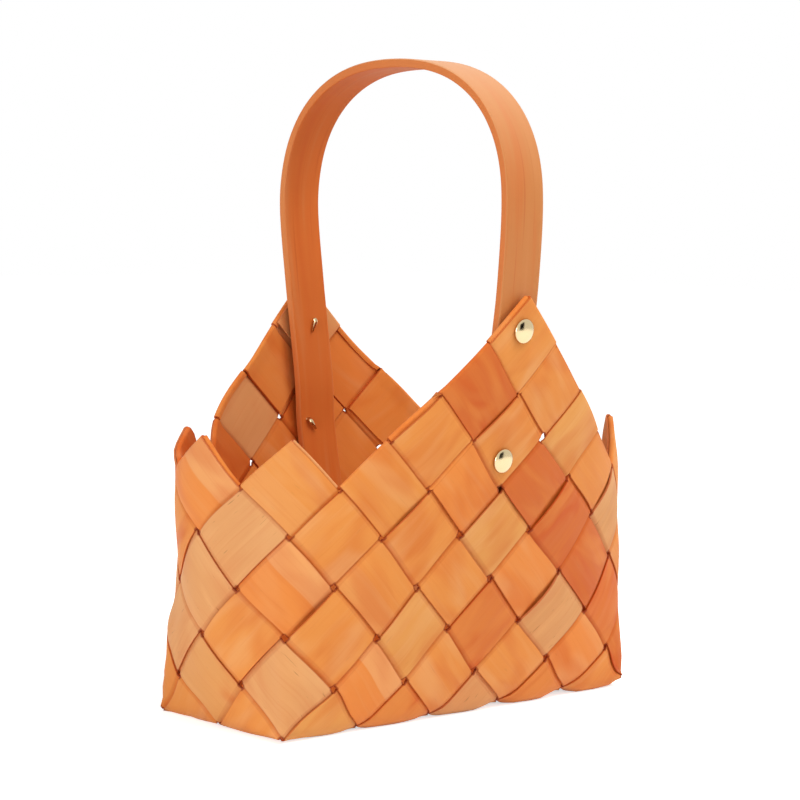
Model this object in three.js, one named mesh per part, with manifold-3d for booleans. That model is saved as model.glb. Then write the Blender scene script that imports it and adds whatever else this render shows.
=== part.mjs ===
// Bias-plaited chip-wood bag with a bent-wood handle. Millimetres, +Z up, base centre at the origin.
// The long walls face -Y (front) and +Y (back). One named mesh for each physical piece.
import * as THREE from 'three';
import { mergeVertices } from 'three/addons/utils/BufferGeometryUtils.js';
import loadManifold from 'manifold-3d';

const solids = await loadManifold();
solids.setup();

// Chip strips
const STRIP_PITCH = 30;
const STRIP_GAP = 2;
const STRIP_THICKNESS = 0.8;
const LAYER_CLEARANCE = 0.4;

// Plaiting, counted in crossings of two strips
const LONG_SIDE_CELLS = 5;
const SHORT_SIDE_CELLS = 2;
const TOOTH_ROW = 3;
const PEAK_ROW = 4.5;

// Bag shape
const MOUTH_LENGTH = 237.6;
const MOUTH_WIDTH = 134;
const FLARE_POWER = 0.6;
const FLARE_START_ROW = 0.15;
const ROW_RISE = 0.975;
const BASE_EDGE_SOFTNESS = 5;
const CORNER_SOFTNESS = 9;
const SHARP_CORNER = 0.01;

// Rim folds
const ROLL_STAND = 0.6;
const ROLL_RAMP = 4;
const TAIL_SHORTFALL = 1;
const FOLD_STEPS = 5;

// Handle
const HANDLE_WIDTH = 21;
const HANDLE_THICKNESS = 3.6;
const HANDLE_EDGE_CHAMFER = 0.8;
const HANDLE_RISE = 98;
const HANDLE_FRONT_BULGE = 2;
const HANDLE_BACK_BULGE = 5;
const HANDLE_ARCH_HEIGHT = 63;
const HANDLE_ARCH_POWER = 2.35;
const HANDLE_FOOT_DROP = 2.4;
const HANDLE_STATIONS = 54;

// Sideways lean of each leg at the peak's tip and at its foot, to the right as seen from outside
const FRONT_LEAN = { tip: 0, foot: 0 };
const BACK_LEAN = { tip: 4, foot: -2 };

// Tacks
const TACK_HEAD_DIAMETER = 11;
const TACK_HEAD_HEIGHT = 2.6;
const TACK_HEAD_EDGE = 0.5;
const TACK_SHANK_DIAMETER = 2;
const TACK_TIP_DIAMETER = 0.9;
const TACK_CLINCH = 5;
const TACK_SEAT_GAP = 0.3;
const TACK_HOLE_CLEARANCE = 0.3;
const TACK_SIDES = 16;

// Hand-driven tacks of each peak: rows below its tip, place to the right as seen from outside,
// and degrees that the clinched tip swings to the right from straight down
const FRONT_TACKS = {
  upper: { drop: 0.37, aside: -2.2, swing: 0 },
  lower: { drop: 1.73, aside: -5.3, swing: 0 },
};
const BACK_TACKS = {
  upper: { drop: 0.47, aside: 1, swing: 20 },
  lower: { drop: 1.58, aside: 6.5, swing: -40 },
};

// Values that follow from the sizes above
const CELL = STRIP_PITCH * Math.SQRT2;
const LAYER = (STRIP_THICKNESS + LAYER_CLEARANCE) / 2;
const HALF_STRIP = (STRIP_PITCH - STRIP_GAP) / 2;
const HALF_LENGTH = LONG_SIDE_CELLS * CELL / 2;
const HALF_WIDTH = SHORT_SIDE_CELLS * CELL / 2;
const COLUMNS = 2 * (LONG_SIDE_CELLS + SHORT_SIDE_CELLS);
const FRONT_PEAK_COLUMN = LONG_SIDE_CELLS / 2;
const FLOOR_LEVEL = LAYER + STRIP_THICKNESS / 2;
const MOUTH_STEPS = 720;
const LEG_STEPS = 6;
const ARCH_STEPS = 15;
const TANGENT_STEP = 0.5;

const TONES = {
  orange: '#e08a48',
  pale: '#e3b184',
  rust: '#c05a2c',
  handle: '#c87848',
  brass: '#d3bd7a',
};
const PALE_STRIPS = ['strip_a_3', 'strip_b_3', 'strip_b_4'];
const RUST_STRIPS = ['strip_a_2', 'strip_a_6'];

// Base outline: the four sides in order, each with the perimeter column it starts at
const SIDES = {
  front: {
    start: new THREE.Vector2(-HALF_LENGTH, -HALF_WIDTH),
    along: new THREE.Vector2(1, 0),
    cells: LONG_SIDE_CELLS,
    firstColumn: 0,
  },
  right: {
    start: new THREE.Vector2(HALF_LENGTH, -HALF_WIDTH),
    along: new THREE.Vector2(0, 1),
    cells: SHORT_SIDE_CELLS,
    firstColumn: LONG_SIDE_CELLS,
  },
  back: {
    start: new THREE.Vector2(HALF_LENGTH, HALF_WIDTH),
    along: new THREE.Vector2(-1, 0),
    cells: LONG_SIDE_CELLS,
    firstColumn: LONG_SIDE_CELLS + SHORT_SIDE_CELLS,
  },
  left: {
    start: new THREE.Vector2(-HALF_LENGTH, HALF_WIDTH),
    along: new THREE.Vector2(0, -1),
    cells: SHORT_SIDE_CELLS,
    firstColumn: 2 * LONG_SIDE_CELLS + SHORT_SIDE_CELLS,
  },
};

function quarterTurn(vector) {
  return new THREE.Vector2(-vector.y, vector.x);
}

// How far a soft crease pulls in a point lying at the given distance from it
function creasePull(distance, softness) {
  const reach = Math.max(softness - distance, 0);
  return reach * reach / (4 * softness);
}

// Soft base edges sharpen towards the base corners, over half a crossing
function cornerFade(distance) {
  return THREE.MathUtils.clamp(2 * distance / CELL, 0, 1);
}

function wrapColumn(column) {
  return THREE.MathUtils.euclideanModulo(column, COLUMNS);
}

// Point of the base outline carried up to a height, where its corners have softened
function footprint(column, height) {
  const wrapped = wrapColumn(column);
  const side = Object.values(SIDES).findLast((candidate) => candidate.firstColumn <= wrapped);
  const inward = quarterTurn(side.along);
  const fromStart = (wrapped - side.firstColumn) * CELL;
  const fromEnd = side.cells * CELL - fromStart;
  const softness = Math.max(CORNER_SOFTNESS * THREE.MathUtils.smoothstep(height, 0, CELL), SHARP_CORNER);
  const startPull = creasePull(fromStart, softness);
  const endPull = creasePull(fromEnd, softness);
  const point = side.start.clone()
    .addScaledVector(side.along, fromStart + startPull - endPull)
    .addScaledVector(inward, startPull + endPull);
  return { point, inward, toCorner: Math.min(fromStart, fromEnd) };
}

function mouthPoint(angle) {
  return new THREE.Vector2(MOUTH_LENGTH / 2 * Math.cos(angle), MOUTH_WIDTH / 2 * Math.sin(angle));
}

// Running arc length round the mouth ellipse, from the middle of the right end
const mouthLengths = [0];
for (let step = 1; step <= MOUTH_STEPS; step += 1) {
  const before = mouthPoint((step - 1) * 2 * Math.PI / MOUTH_STEPS);
  const after = mouthPoint(step * 2 * Math.PI / MOUTH_STEPS);
  mouthLengths.push(mouthLengths[step - 1] + before.distanceTo(after));
}

function mouthAtColumn(column) {
  const rightEndColumn = LONG_SIDE_CELLS + SHORT_SIDE_CELLS / 2;
  const wanted = wrapColumn(column - rightEndColumn) / COLUMNS * mouthLengths[MOUTH_STEPS];
  const next = Math.max(mouthLengths.findIndex((length) => length > wanted), 1);
  const share = (wanted - mouthLengths[next - 1]) / (mouthLengths[next] - mouthLengths[next - 1]);
  return mouthPoint((next - 1 + share) * 2 * Math.PI / MOUTH_STEPS);
}

// Share of the way from the base outline to the mouth ellipse at a row; past 1 above the mouth
function flare(row) {
  const start = FLARE_START_ROW ** FLARE_POWER;
  const mouth = (TOOTH_ROW + FLARE_START_ROW) ** FLARE_POWER;
  return ((row + FLARE_START_ROW) ** FLARE_POWER - start) / (mouth - start);
}

// Middle surface of the weave on the walls
function wallPoint(column, height) {
  const { point, inward, toCorner } = footprint(column, height);
  const pull = creasePull(height, BASE_EDGE_SOFTNESS) * cornerFade(toCorner);
  point.addScaledVector(inward, pull);
  point.lerp(mouthAtColumn(column), flare(height / CELL));
  return new THREE.Vector3(point.x, point.y, FLOOR_LEVEL + height * ROW_RISE + pull);
}

// Middle surface of the weave under the bag
function basePoint(x, y) {
  const endFade = cornerFade(HALF_WIDTH - Math.abs(y));
  const sideFade = cornerFade(HALF_LENGTH - Math.abs(x));
  const endPull = creasePull(HALF_LENGTH - Math.abs(x), BASE_EDGE_SOFTNESS) * endFade;
  const sidePull = creasePull(HALF_WIDTH - Math.abs(y), BASE_EDGE_SOFTNESS) * sideFade;
  return new THREE.Vector3(
    x - Math.sign(x) * endPull,
    y - Math.sign(y) * sidePull,
    FLOOR_LEVEL + endPull + sidePull,
  );
}

// Rim of the woven walls: small teeth all round and a tall peak in the middle of each long wall
function rimRow(column) {
  const wrapped = wrapColumn(column);
  const tooth = TOOTH_ROW - Math.abs(wrapped - Math.round(wrapped));
  const fromPeak = Math.abs(wrapped % (COLUMNS / 2) - FRONT_PEAK_COLUMN);
  return Math.max(tooth, PEAK_ROW - fromPeak);
}

function isWoven(column, row) {
  return row < rimRow(column);
}

// Follows a strip up one wall from the base edge to its last crossing under the rim
function climb(column, lean) {
  let rows = 0;
  while (isWoven(column + lean * (rows + 1) / 2, (rows + 1) / 2)) {
    rows += 1;
  }
  const endColumn = column + lean * rows / 2;
  const crossingEndsToo = !isWoven(endColumn - lean / 2, (rows + 1) / 2);
  return { rows, crossingEndsToo };
}

// A strip is a straight band across the opened-out base, carried on up the two walls it meets
function makePath(startSide, startCells, endSide, direction) {
  const start = SIDES[startSide];
  const origin = start.start.clone().addScaledVector(start.along, startCells * CELL);
  const across = quarterTurn(direction);
  const end = SIDES[endSide];
  const endInward = quarterTurn(end.along);
  const toEnd = end.start.clone().sub(origin).dot(endInward) / direction.dot(endInward);
  const endPoint = origin.clone().addScaledVector(direction, toEnd);
  const endCells = endPoint.clone().sub(end.start).dot(end.along) / CELL;
  const startLean = -Math.sign(direction.dot(start.along));
  const endLean = Math.sign(direction.dot(end.along));
  return {
    origin,
    direction,
    across,
    start,
    end,
    baseCells: Math.round(toEnd / STRIP_PITCH),
    startLayer: startLean,
    startClimb: climb(start.firstColumn + startCells, startLean),
    endClimb: climb(end.firstColumn + endCells, endLean),
  };
}

function outsideBy(side, flat) {
  return -flat.clone().sub(side.start).dot(quarterTurn(side.along));
}

function pathPoint(path, along, across) {
  const flat = path.origin.clone()
    .addScaledVector(path.direction, along)
    .addScaledVector(path.across, across);
  for (const side of [path.start, path.end]) {
    const height = outsideBy(side, flat);
    if (height > 0) {
      const column = side.firstColumn + flat.clone().sub(side.start).dot(side.along) / CELL;
      return wallPoint(column, height);
    }
  }
  return basePoint(flat.x, flat.y);
}

function pathNormal(path, along, across) {
  const alongTangent = pathPoint(path, along + TANGENT_STEP, across)
    .sub(pathPoint(path, along - TANGENT_STEP, across));
  const acrossTangent = pathPoint(path, along, across + TANGENT_STEP)
    .sub(pathPoint(path, along, across - TANGENT_STEP));
  return acrossTangent.cross(alongTangent).normalize();
}

// Fold at the rim, as distances past the last crossing's centre and depths from the middle surface
function rimFold(isOutside, crossingEndsToo) {
  const profile = [];
  const stand = isOutside ? 0 : ROLL_STAND;
  const centreDepth = isOutside ? -LAYER : -3 * LAYER;
  for (let step = 0; step <= FOLD_STEPS; step += 1) {
    const angle = Math.PI / 2 - Math.PI * step / FOLD_STEPS;
    const reach = HALF_STRIP + stand + 2 * LAYER * Math.cos(angle);
    profile.push(new THREE.Vector2(reach, centreDepth + 2 * LAYER * Math.sin(angle)));
  }
  const tailDepth = !isOutside && crossingEndsToo ? -5 * LAYER : -3 * LAYER;
  if (!isOutside && !crossingEndsToo) {
    profile.push(new THREE.Vector2(HALF_STRIP - ROLL_RAMP, tailDepth));
  }
  profile.push(new THREE.Vector2(TAIL_SHORTFALL - HALF_STRIP, tailDepth));
  return profile;
}

// Lengthwise section of a strip: over and under the crossing strips, with a folded tail at each end
function stripProfile(path) {
  const layerAt = (cell) => (cell % 2 === 0 ? path.startLayer : -path.startLayer);
  const firstCell = -path.startClimb.rows;
  const lastCell = path.baseCells + path.endClimb.rows;
  const placeFold = (cell, way, crossingEndsToo) => rimFold(layerAt(cell) > 0, crossingEndsToo)
    .map((point) => new THREE.Vector2(cell * STRIP_PITCH + way * point.x, point.y));
  const profile = placeFold(firstCell, -1, path.startClimb.crossingEndsToo).reverse();
  for (let cell = firstCell; cell <= lastCell; cell += 1) {
    const depth = layerAt(cell) * LAYER;
    if (cell > firstCell || depth < 0) {
      profile.push(new THREE.Vector2(cell * STRIP_PITCH - HALF_STRIP, depth));
    }
    if (cell < lastCell || depth < 0) {
      profile.push(new THREE.Vector2(cell * STRIP_PITCH + HALF_STRIP, depth));
    }
  }
  profile.push(...placeFold(lastCell, 1, path.endClimb.crossingEndsToo));
  return profile;
}

// Mitred unit offset at each point of a section
function profileOffsets(profile) {
  const segmentNormals = profile.slice(1).map((point, index) => (
    quarterTurn(point.clone().sub(profile[index]).normalize())
  ));
  return profile.map((point, index) => {
    const before = segmentNormals[Math.max(index - 1, 0)];
    const after = segmentNormals[Math.min(index, segmentNormals.length - 1)];
    return before.clone().add(after).divideScalar(1 + before.dot(after));
  });
}

// Lines on the opened-out strip where its faces crease: crossing diagonals and the soft base edges
function creaseLines(path) {
  const lines = [];
  const lastCell = path.baseCells + path.endClimb.rows;
  for (let cell = -path.startClimb.rows; cell <= lastCell; cell += 1) {
    lines.push((along, across) => along - cell * STRIP_PITCH - across);
    lines.push((along, across) => along - cell * STRIP_PITCH + across);
  }
  for (const side of [path.start, path.end]) {
    for (const share of [-1, -0.5, 0.5, 1]) {
      lines.push((along, across) => {
        const flat = path.origin.clone()
          .addScaledVector(path.direction, along)
          .addScaledVector(path.across, across);
        return outsideBy(side, flat) - share * BASE_EDGE_SOFTNESS;
      });
    }
  }
  return lines;
}

// Cuts one convex polygon by a line given as a signed distance
function cutPolygon(polygon, distance) {
  const nearLine = 1e-6;
  const parts = { before: [], after: [] };
  polygon.forEach((corner, index) => {
    const next = polygon[(index + 1) % polygon.length];
    const here = distance(corner);
    const there = distance(next);
    if (here <= nearLine) {
      parts.before.push(corner);
    }
    if (here >= -nearLine) {
      parts.after.push(corner);
    }
    if (Math.min(here, there) < -nearLine && Math.max(here, there) > nearLine) {
      const crossing = corner.clone().lerp(next, here / (here - there));
      parts.before.push(crossing);
      parts.after.push(crossing);
    }
  });
  return Object.values(parts).filter((part) => part.length > 2);
}

// Which corner of a polygon lies nearest the centre of its crossing
function nearestCrossing(places) {
  const middle = places.reduce((sum, place) => sum + place.x, 0) / places.length;
  const centre = new THREE.Vector2(Math.round(middle / STRIP_PITCH) * STRIP_PITCH, 0);
  const distances = places.map((place) => place.distanceTo(centre));
  return distances.indexOf(Math.min(...distances));
}

function startingAt(index, list) {
  return [...list.slice(index), ...list.slice(0, index)];
}

// Closed solid of one strip: both faces from the creased blank, then its edges all round
function stripGeometry(path) {
  const profile = stripProfile(path);
  const offsets = profileOffsets(profile);
  const lines = creaseLines(path);
  const positions = [];
  const indexOfKey = new Map();
  const triangles = [];
  const rimEdges = new Map();

  function vertexIndex(section, corner) {
    const place = profile[section].clone().lerp(profile[section + 1], corner.x);
    const offset = offsets[section].clone().lerp(offsets[section + 1], corner.x);
    const key = [place.x, place.y, corner.y].map((value) => value.toFixed(4)).join(' ');
    if (!indexOfKey.has(key)) {
      indexOfKey.set(key, positions.length / 2);
      for (const half of [STRIP_THICKNESS / 2, -STRIP_THICKNESS / 2]) {
        const shifted = place.clone().addScaledVector(offset, half);
        const normal = pathNormal(path, shifted.x, corner.y);
        positions.push(pathPoint(path, shifted.x, corner.y).addScaledVector(normal, shifted.y));
      }
    }
    return indexOfKey.get(key);
  }

  function addPolygon(indices) {
    for (let corner = 1; corner < indices.length - 1; corner += 1) {
      const [first, second, third] = [indices[0], indices[corner], indices[corner + 1]];
      triangles.push([2 * first, 2 * third, 2 * second]);
      triangles.push([2 * first + 1, 2 * second + 1, 2 * third + 1]);
    }
    indices.forEach((from, corner) => {
      const to = indices[(corner + 1) % indices.length];
      if (!rimEdges.delete(`${to} ${from}`)) {
        rimEdges.set(`${from} ${to}`, [from, to]);
      }
    });
  }

  for (let section = 0; section < profile.length - 1; section += 1) {
    const alongAt = (corner) => THREE.MathUtils.lerp(profile[section].x, profile[section + 1].x, corner.x);
    let polygons = [[
      new THREE.Vector2(0, -HALF_STRIP),
      new THREE.Vector2(1, -HALF_STRIP),
      new THREE.Vector2(1, HALF_STRIP),
      new THREE.Vector2(0, HALF_STRIP),
    ]];
    for (const line of lines) {
      const distance = (corner) => line(alongAt(corner), corner.y);
      polygons = polygons.flatMap((polygon) => cutPolygon(polygon, distance));
    }
    for (const polygon of polygons) {
      const places = polygon.map((corner) => new THREE.Vector2(alongAt(corner), corner.y));
      const ordered = startingAt(nearestCrossing(places), polygon);
      addPolygon(ordered.map((corner) => vertexIndex(section, corner)));
    }
  }
  for (const [from, to] of rimEdges.values()) {
    triangles.push([2 * from, 2 * to, 2 * to + 1]);
    triangles.push([2 * from, 2 * to + 1, 2 * from + 1]);
  }
  return closedGeometry(positions, triangles);
}

function closedGeometry(positions, triangles) {
  const geometry = new THREE.BufferGeometry();
  const flatPositions = positions.flatMap((point) => point.toArray());
  geometry.setAttribute('position', new THREE.Float32BufferAttribute(flatPositions, 3));
  geometry.setIndex(triangles.flat());
  return geometry;
}

// Closed tube through a list of rings with the same number of points
function ringSolid(rings) {
  const count = rings[0].length;
  const triangles = [];
  for (let ring = 0; ring < rings.length - 1; ring += 1) {
    for (let side = 0; side < count; side += 1) {
      const here = ring * count + side;
      const beside = ring * count + (side + 1) % count;
      triangles.push([here, beside, beside + count]);
      triangles.push([here, beside + count, here + count]);
    }
  }
  const last = (rings.length - 1) * count;
  for (let side = 1; side < count - 1; side += 1) {
    triangles.push([0, side + 1, side]);
    triangles.push([last, last + side, last + side + 1]);
  }
  return closedGeometry(rings.flat(), triangles);
}

// Middle of the front peak at a row, the way out of the bag from there, and how deep and how far aside
// a leg with the given lean lies
function peakStation(row, lean) {
  const height = row * CELL;
  const point = wallPoint(FRONT_PEAK_COLUMN, height);
  const above = wallPoint(FRONT_PEAK_COLUMN, height + TANGENT_STEP);
  const below = wallPoint(FRONT_PEAK_COLUMN, height - TANGENT_STEP);
  const out = new THREE.Vector3(1, 0, 0).cross(above.sub(below)).normalize();
  const corner = wallPoint(FRONT_PEAK_COLUMN + 0.5, height);
  const cornerDrop = point.clone().sub(corner).dot(out);
  const aside = THREE.MathUtils.lerp(lean.tip, lean.foot, (PEAK_ROW - row) / HANDLE_FOOT_DROP);
  const sag = cornerDrop * (HANDLE_WIDTH + 2 * Math.abs(aside)) / CELL;
  const folded = THREE.MathUtils.smoothstep(row, PEAK_ROW - 1.75, PEAK_ROW - 1);
  const wallDepth = LAYER * (1 + 4 * folded) + STRIP_THICKNESS / 2;
  return { point, out, aside, legDepth: wallDepth + sag + LAYER_CLEARANCE };
}

// Centre line of a leg from its foot to the tip of the front peak
function legLine(lean) {
  const points = [];
  for (let step = 0; step <= LEG_STEPS; step += 1) {
    const row = PEAK_ROW - HANDLE_FOOT_DROP * (1 - step / LEG_STEPS);
    const { point, out, aside, legDepth } = peakStation(row, lean);
    point.x += aside;
    points.push(point.addScaledVector(out, -legDepth - HANDLE_THICKNESS / 2));
  }
  return points;
}

// Centre line of the handle: up inside the front peak, over, and down inside the back peak
function handleCurve() {
  const frontLeg = legLine(FRONT_LEAN);
  const backLeg = legLine(BACK_LEAN).map((point) => new THREE.Vector3(-point.x, -point.y, point.z)).reverse();
  const frontTip = frontLeg.at(-1);
  const backTip = backLeg[0];
  const springLevel = frontTip.z + HANDLE_RISE - HANDLE_ARCH_HEIGHT;
  const arch = [];
  for (let step = 0; step <= ARCH_STEPS; step += 1) {
    const angle = Math.PI * step / ARCH_STEPS;
    const side = -Math.sign(Math.cos(angle));
    const reach = side < 0 ? HANDLE_FRONT_BULGE - frontTip.y : HANDLE_BACK_BULGE + backTip.y;
    const run = Math.abs(Math.cos(angle)) ** (2 / HANDLE_ARCH_POWER) * side;
    const rise = Math.sin(angle) ** (2 / HANDLE_ARCH_POWER);
    const aside = THREE.MathUtils.lerp(frontTip.x, backTip.x, step / ARCH_STEPS);
    arch.push(new THREE.Vector3(aside, reach * run, springLevel + HANDLE_ARCH_HEIGHT * rise));
  }
  return new THREE.CatmullRomCurve3([...frontLeg, ...arch, ...backLeg]);
}

function handleGeometry() {
  const curve = handleCurve();
  const halfWidth = HANDLE_WIDTH / 2;
  const halfThickness = HANDLE_THICKNESS / 2;
  const section = [];
  for (const [signX, signOut] of [[1, 1], [1, -1], [-1, -1], [-1, 1]]) {
    const wide = new THREE.Vector2(signX * halfWidth, signOut * (halfThickness - HANDLE_EDGE_CHAMFER));
    const thick = new THREE.Vector2(signX * (halfWidth - HANDLE_EDGE_CHAMFER), signOut * halfThickness);
    section.push(...(signX * signOut > 0 ? [thick, wide] : [wide, thick]));
  }
  const rings = [];
  for (let station = 0; station <= HANDLE_STATIONS; station += 1) {
    const centre = curve.getPointAt(station / HANDLE_STATIONS);
    const tangent = curve.getTangentAt(station / HANDLE_STATIONS);
    const out = new THREE.Vector3(1, 0, 0).cross(tangent);
    rings.push(section.map(({ x, y }) => (
      new THREE.Vector3(x, 0, 0).add(centre).addScaledVector(out, y)
    )));
  }
  return ringSolid(rings);
}

// Place of a tack in the front peak, the way out of the bag and the depth of the leg behind it
function tackStation(tack, lean) {
  const row = PEAK_ROW - tack.drop;
  const { point: middle, out, legDepth } = peakStation(row, lean);
  const point = wallPoint(FRONT_PEAK_COLUMN + tack.aside / CELL, row * CELL);
  const sunk = middle.sub(point).dot(out);
  return { point, out, legDepth: legDepth - sunk };
}

// One tack through the front peak: dome outside, shank through wall and leg, tip clinched on the leg
function tackGeometry(tack, lean) {
  const { point, out, legDepth } = tackStation(tack, lean);
  const right = new THREE.Vector3(1, 0, 0);
  const down = right.clone().cross(out);
  const swing = THREE.MathUtils.degToRad(tack.swing);
  const tipWay = down.multiplyScalar(Math.cos(swing)).addScaledVector(right, Math.sin(swing));
  const besideTip = out.clone().cross(tipWay);
  const headRadius = TACK_HEAD_DIAMETER / 2;
  const shankRadius = TACK_SHANK_DIAMETER / 2;
  const seat = LAYER + STRIP_THICKNESS / 2 + TACK_SEAT_GAP;
  const innerFace = -legDepth - HANDLE_THICKNESS;
  const bendRadius = shankRadius + TACK_SEAT_GAP;
  const stations = [];
  for (const degrees of [84, 66, 48, 30, 12, 0]) {
    const angle = THREE.MathUtils.degToRad(degrees);
    const level = seat + TACK_HEAD_EDGE + (TACK_HEAD_HEIGHT - TACK_HEAD_EDGE) * Math.sin(angle);
    stations.push({ level, fall: 0, turn: 0, radius: headRadius * Math.cos(angle) });
  }
  stations.push({ level: seat, fall: 0, turn: 0, radius: headRadius - TACK_HEAD_EDGE / 2 });
  stations.push({ level: seat, fall: 0, turn: 0, radius: shankRadius });
  for (const degrees of [0, 30, 60, 90]) {
    const turn = THREE.MathUtils.degToRad(degrees);
    const level = innerFace - bendRadius * Math.sin(turn);
    stations.push({ level, fall: bendRadius * (1 - Math.cos(turn)), turn, radius: shankRadius });
  }
  stations.push({
    level: innerFace - TACK_SEAT_GAP - TACK_TIP_DIAMETER / 2,
    fall: bendRadius + TACK_CLINCH,
    turn: Math.PI / 2,
    radius: TACK_TIP_DIAMETER / 2,
  });
  const rings = stations.map(({ level, fall, turn, radius }) => {
    const centre = point.clone().addScaledVector(out, level).addScaledVector(tipWay, fall);
    const spoke = tipWay.clone().multiplyScalar(Math.cos(turn)).addScaledVector(out, Math.sin(turn));
    const ring = [];
    for (let side = 0; side < TACK_SIDES; side += 1) {
      const angle = 2 * Math.PI * side / TACK_SIDES;
      ring.push(centre.clone()
        .addScaledVector(spoke, radius * Math.cos(angle))
        .addScaledVector(besideTip, -radius * Math.sin(angle)));
    }
    return ring;
  });
  return ringSolid(rings);
}

// Straight punch for one tack hole in the front peak
function tackHole(tack, lean) {
  const { point, out, legDepth } = tackStation(tack, lean);
  const inside = legDepth + HANDLE_THICKNESS + TACK_HEAD_HEIGHT;
  const outside = LAYER + STRIP_THICKNESS + TACK_SEAT_GAP;
  const radius = TACK_SHANK_DIAMETER / 2 + TACK_HOLE_CLEARANCE;
  const punch = new THREE.CylinderGeometry(radius, radius, inside + outside, TACK_SIDES);
  const turn = new THREE.Quaternion().setFromUnitVectors(new THREE.Vector3(0, 1, 0), out);
  punch.applyQuaternion(turn);
  const centre = point.addScaledVector(out, (outside - inside) / 2);
  return punch.translate(centre.x, centre.y, centre.z);
}

function turnedToBack(geometry) {
  return geometry.clone().rotateZ(Math.PI);
}

function toSolid(geometry) {
  const bare = new THREE.BufferGeometry();
  bare.setAttribute('position', geometry.getAttribute('position'));
  bare.setIndex(geometry.getIndex());
  const merged = mergeVertices(bare, 1e-4);
  return new solids.Manifold(new solids.Mesh({
    numProp: 3,
    vertProperties: Float32Array.from(merged.getAttribute('position').array),
    triVerts: Uint32Array.from(merged.getIndex().array),
  }));
}

function fromSolid(solid) {
  const mesh = solid.getMesh();
  const geometry = new THREE.BufferGeometry();
  geometry.setAttribute('position', new THREE.BufferAttribute(mesh.vertProperties, mesh.numProp));
  geometry.setIndex(new THREE.BufferAttribute(mesh.triVerts, 1));
  return geometry;
}

const frontHoles = Object.values(FRONT_TACKS).map((tack) => tackHole(tack, FRONT_LEAN));
const backHoles = Object.values(BACK_TACKS).map((tack) => turnedToBack(tackHole(tack, BACK_LEAN)));
const holes = [...frontHoles, ...backHoles].map(toSolid);

function punched(geometry) {
  return fromSolid(holes.reduce((solid, hole) => solid.subtract(hole), toSolid(geometry)));
}

const bag = new THREE.Group();
bag.name = 'woven_bag';

function addPiece(name, geometry, tone, roughness, metalness) {
  const material = new THREE.MeshStandardMaterial({ color: tone, roughness, metalness });
  const mesh = new THREE.Mesh(geometry, material);
  mesh.name = name;
  bag.add(mesh);
}

function addStrip(name, path) {
  const named = PALE_STRIPS.includes(name) ? TONES.pale : TONES.orange;
  const tone = RUST_STRIPS.includes(name) ? TONES.rust : named;
  addPiece(name, punched(stripGeometry(path)), tone, 0.6, 0);
}

// Strips of the first set run from the front or right edge of the base towards the back left,
// those of the second set from the left or front edge towards the back right
const backLeft = new THREE.Vector2(-1, 1).normalize();
const backRight = new THREE.Vector2(1, 1).normalize();
for (let number = 1; number <= LONG_SIDE_CELLS + SHORT_SIDE_CELLS; number += 1) {
  const firstSum = number - 0.5;
  const startsInFront = firstSum < LONG_SIDE_CELLS;
  addStrip(`strip_a_${number}`, makePath(
    startsInFront ? 'front' : 'right',
    startsInFront ? firstSum : firstSum - LONG_SIDE_CELLS,
    firstSum < SHORT_SIDE_CELLS ? 'left' : 'back',
    backLeft,
  ));
  const difference = number - SHORT_SIDE_CELLS - 0.5;
  const startsLeft = difference < 0;
  addStrip(`strip_b_${number}`, makePath(
    startsLeft ? 'left' : 'front',
    startsLeft ? SHORT_SIDE_CELLS + difference : difference,
    difference < LONG_SIDE_CELLS - SHORT_SIDE_CELLS ? 'back' : 'right',
    backRight,
  ));
}

addPiece('bent_handle', punched(handleGeometry()), TONES.handle, 0.6, 0);

for (const [level, tack] of Object.entries(FRONT_TACKS)) {
  addPiece(`tack_front_${level}`, tackGeometry(tack, FRONT_LEAN), TONES.brass, 0.3, 1);
}
for (const [level, tack] of Object.entries(BACK_TACKS)) {
  addPiece(`tack_back_${level}`, turnedToBack(tackGeometry(tack, BACK_LEAN)), TONES.brass, 0.3, 1);
}

export default bag;
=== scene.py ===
"""Bias-plaited chip-wood bag with a bent-wood handle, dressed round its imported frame."""

import math
from bisect import bisect_right

import bmesh
import bpy
from bpy.props import FloatProperty, FloatVectorProperty, PointerProperty
from mathutils import Matrix, Vector, noise


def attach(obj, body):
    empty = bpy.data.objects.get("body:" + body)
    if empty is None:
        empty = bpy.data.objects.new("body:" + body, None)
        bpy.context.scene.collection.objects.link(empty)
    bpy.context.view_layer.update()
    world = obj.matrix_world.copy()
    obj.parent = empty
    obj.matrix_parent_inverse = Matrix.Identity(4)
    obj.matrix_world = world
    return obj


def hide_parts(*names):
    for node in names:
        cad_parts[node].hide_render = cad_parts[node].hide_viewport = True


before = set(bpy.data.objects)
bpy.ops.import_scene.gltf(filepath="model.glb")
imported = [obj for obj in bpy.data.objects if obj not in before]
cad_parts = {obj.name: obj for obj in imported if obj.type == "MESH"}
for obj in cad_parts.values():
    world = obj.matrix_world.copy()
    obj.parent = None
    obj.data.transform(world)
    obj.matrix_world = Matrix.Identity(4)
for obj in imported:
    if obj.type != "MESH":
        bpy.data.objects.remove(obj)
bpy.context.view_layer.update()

bl_info = {
    "name": "Woven Chip-Wood Bag",
    "version": (1, 0, 0),
    "blender": (4, 5, 0),
    "location": "3D View > Sidebar > Woven Bag",
    "description": "Builds a bias-plaited chip-wood bag with a bent-wood handle",
    "category": "Add Mesh",
}

# Plaiting, counted in crossings of two strips
LONG_SIDE_CELLS = 5
SHORT_SIDE_CELLS = 2
COLUMNS = 2 * (LONG_SIDE_CELLS + SHORT_SIDE_CELLS)
STRIPS_PER_SET = LONG_SIDE_CELLS + SHORT_SIDE_CELLS
FRONT_PEAK_COLUMN = LONG_SIDE_CELLS / 2
PEAK_COLUMNS = {"front": FRONT_PEAK_COLUMN, "back": FRONT_PEAK_COLUMN + STRIPS_PER_SET}
TOOTH_ROW = 3.0
PEAK_ROW = 4.5

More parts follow.
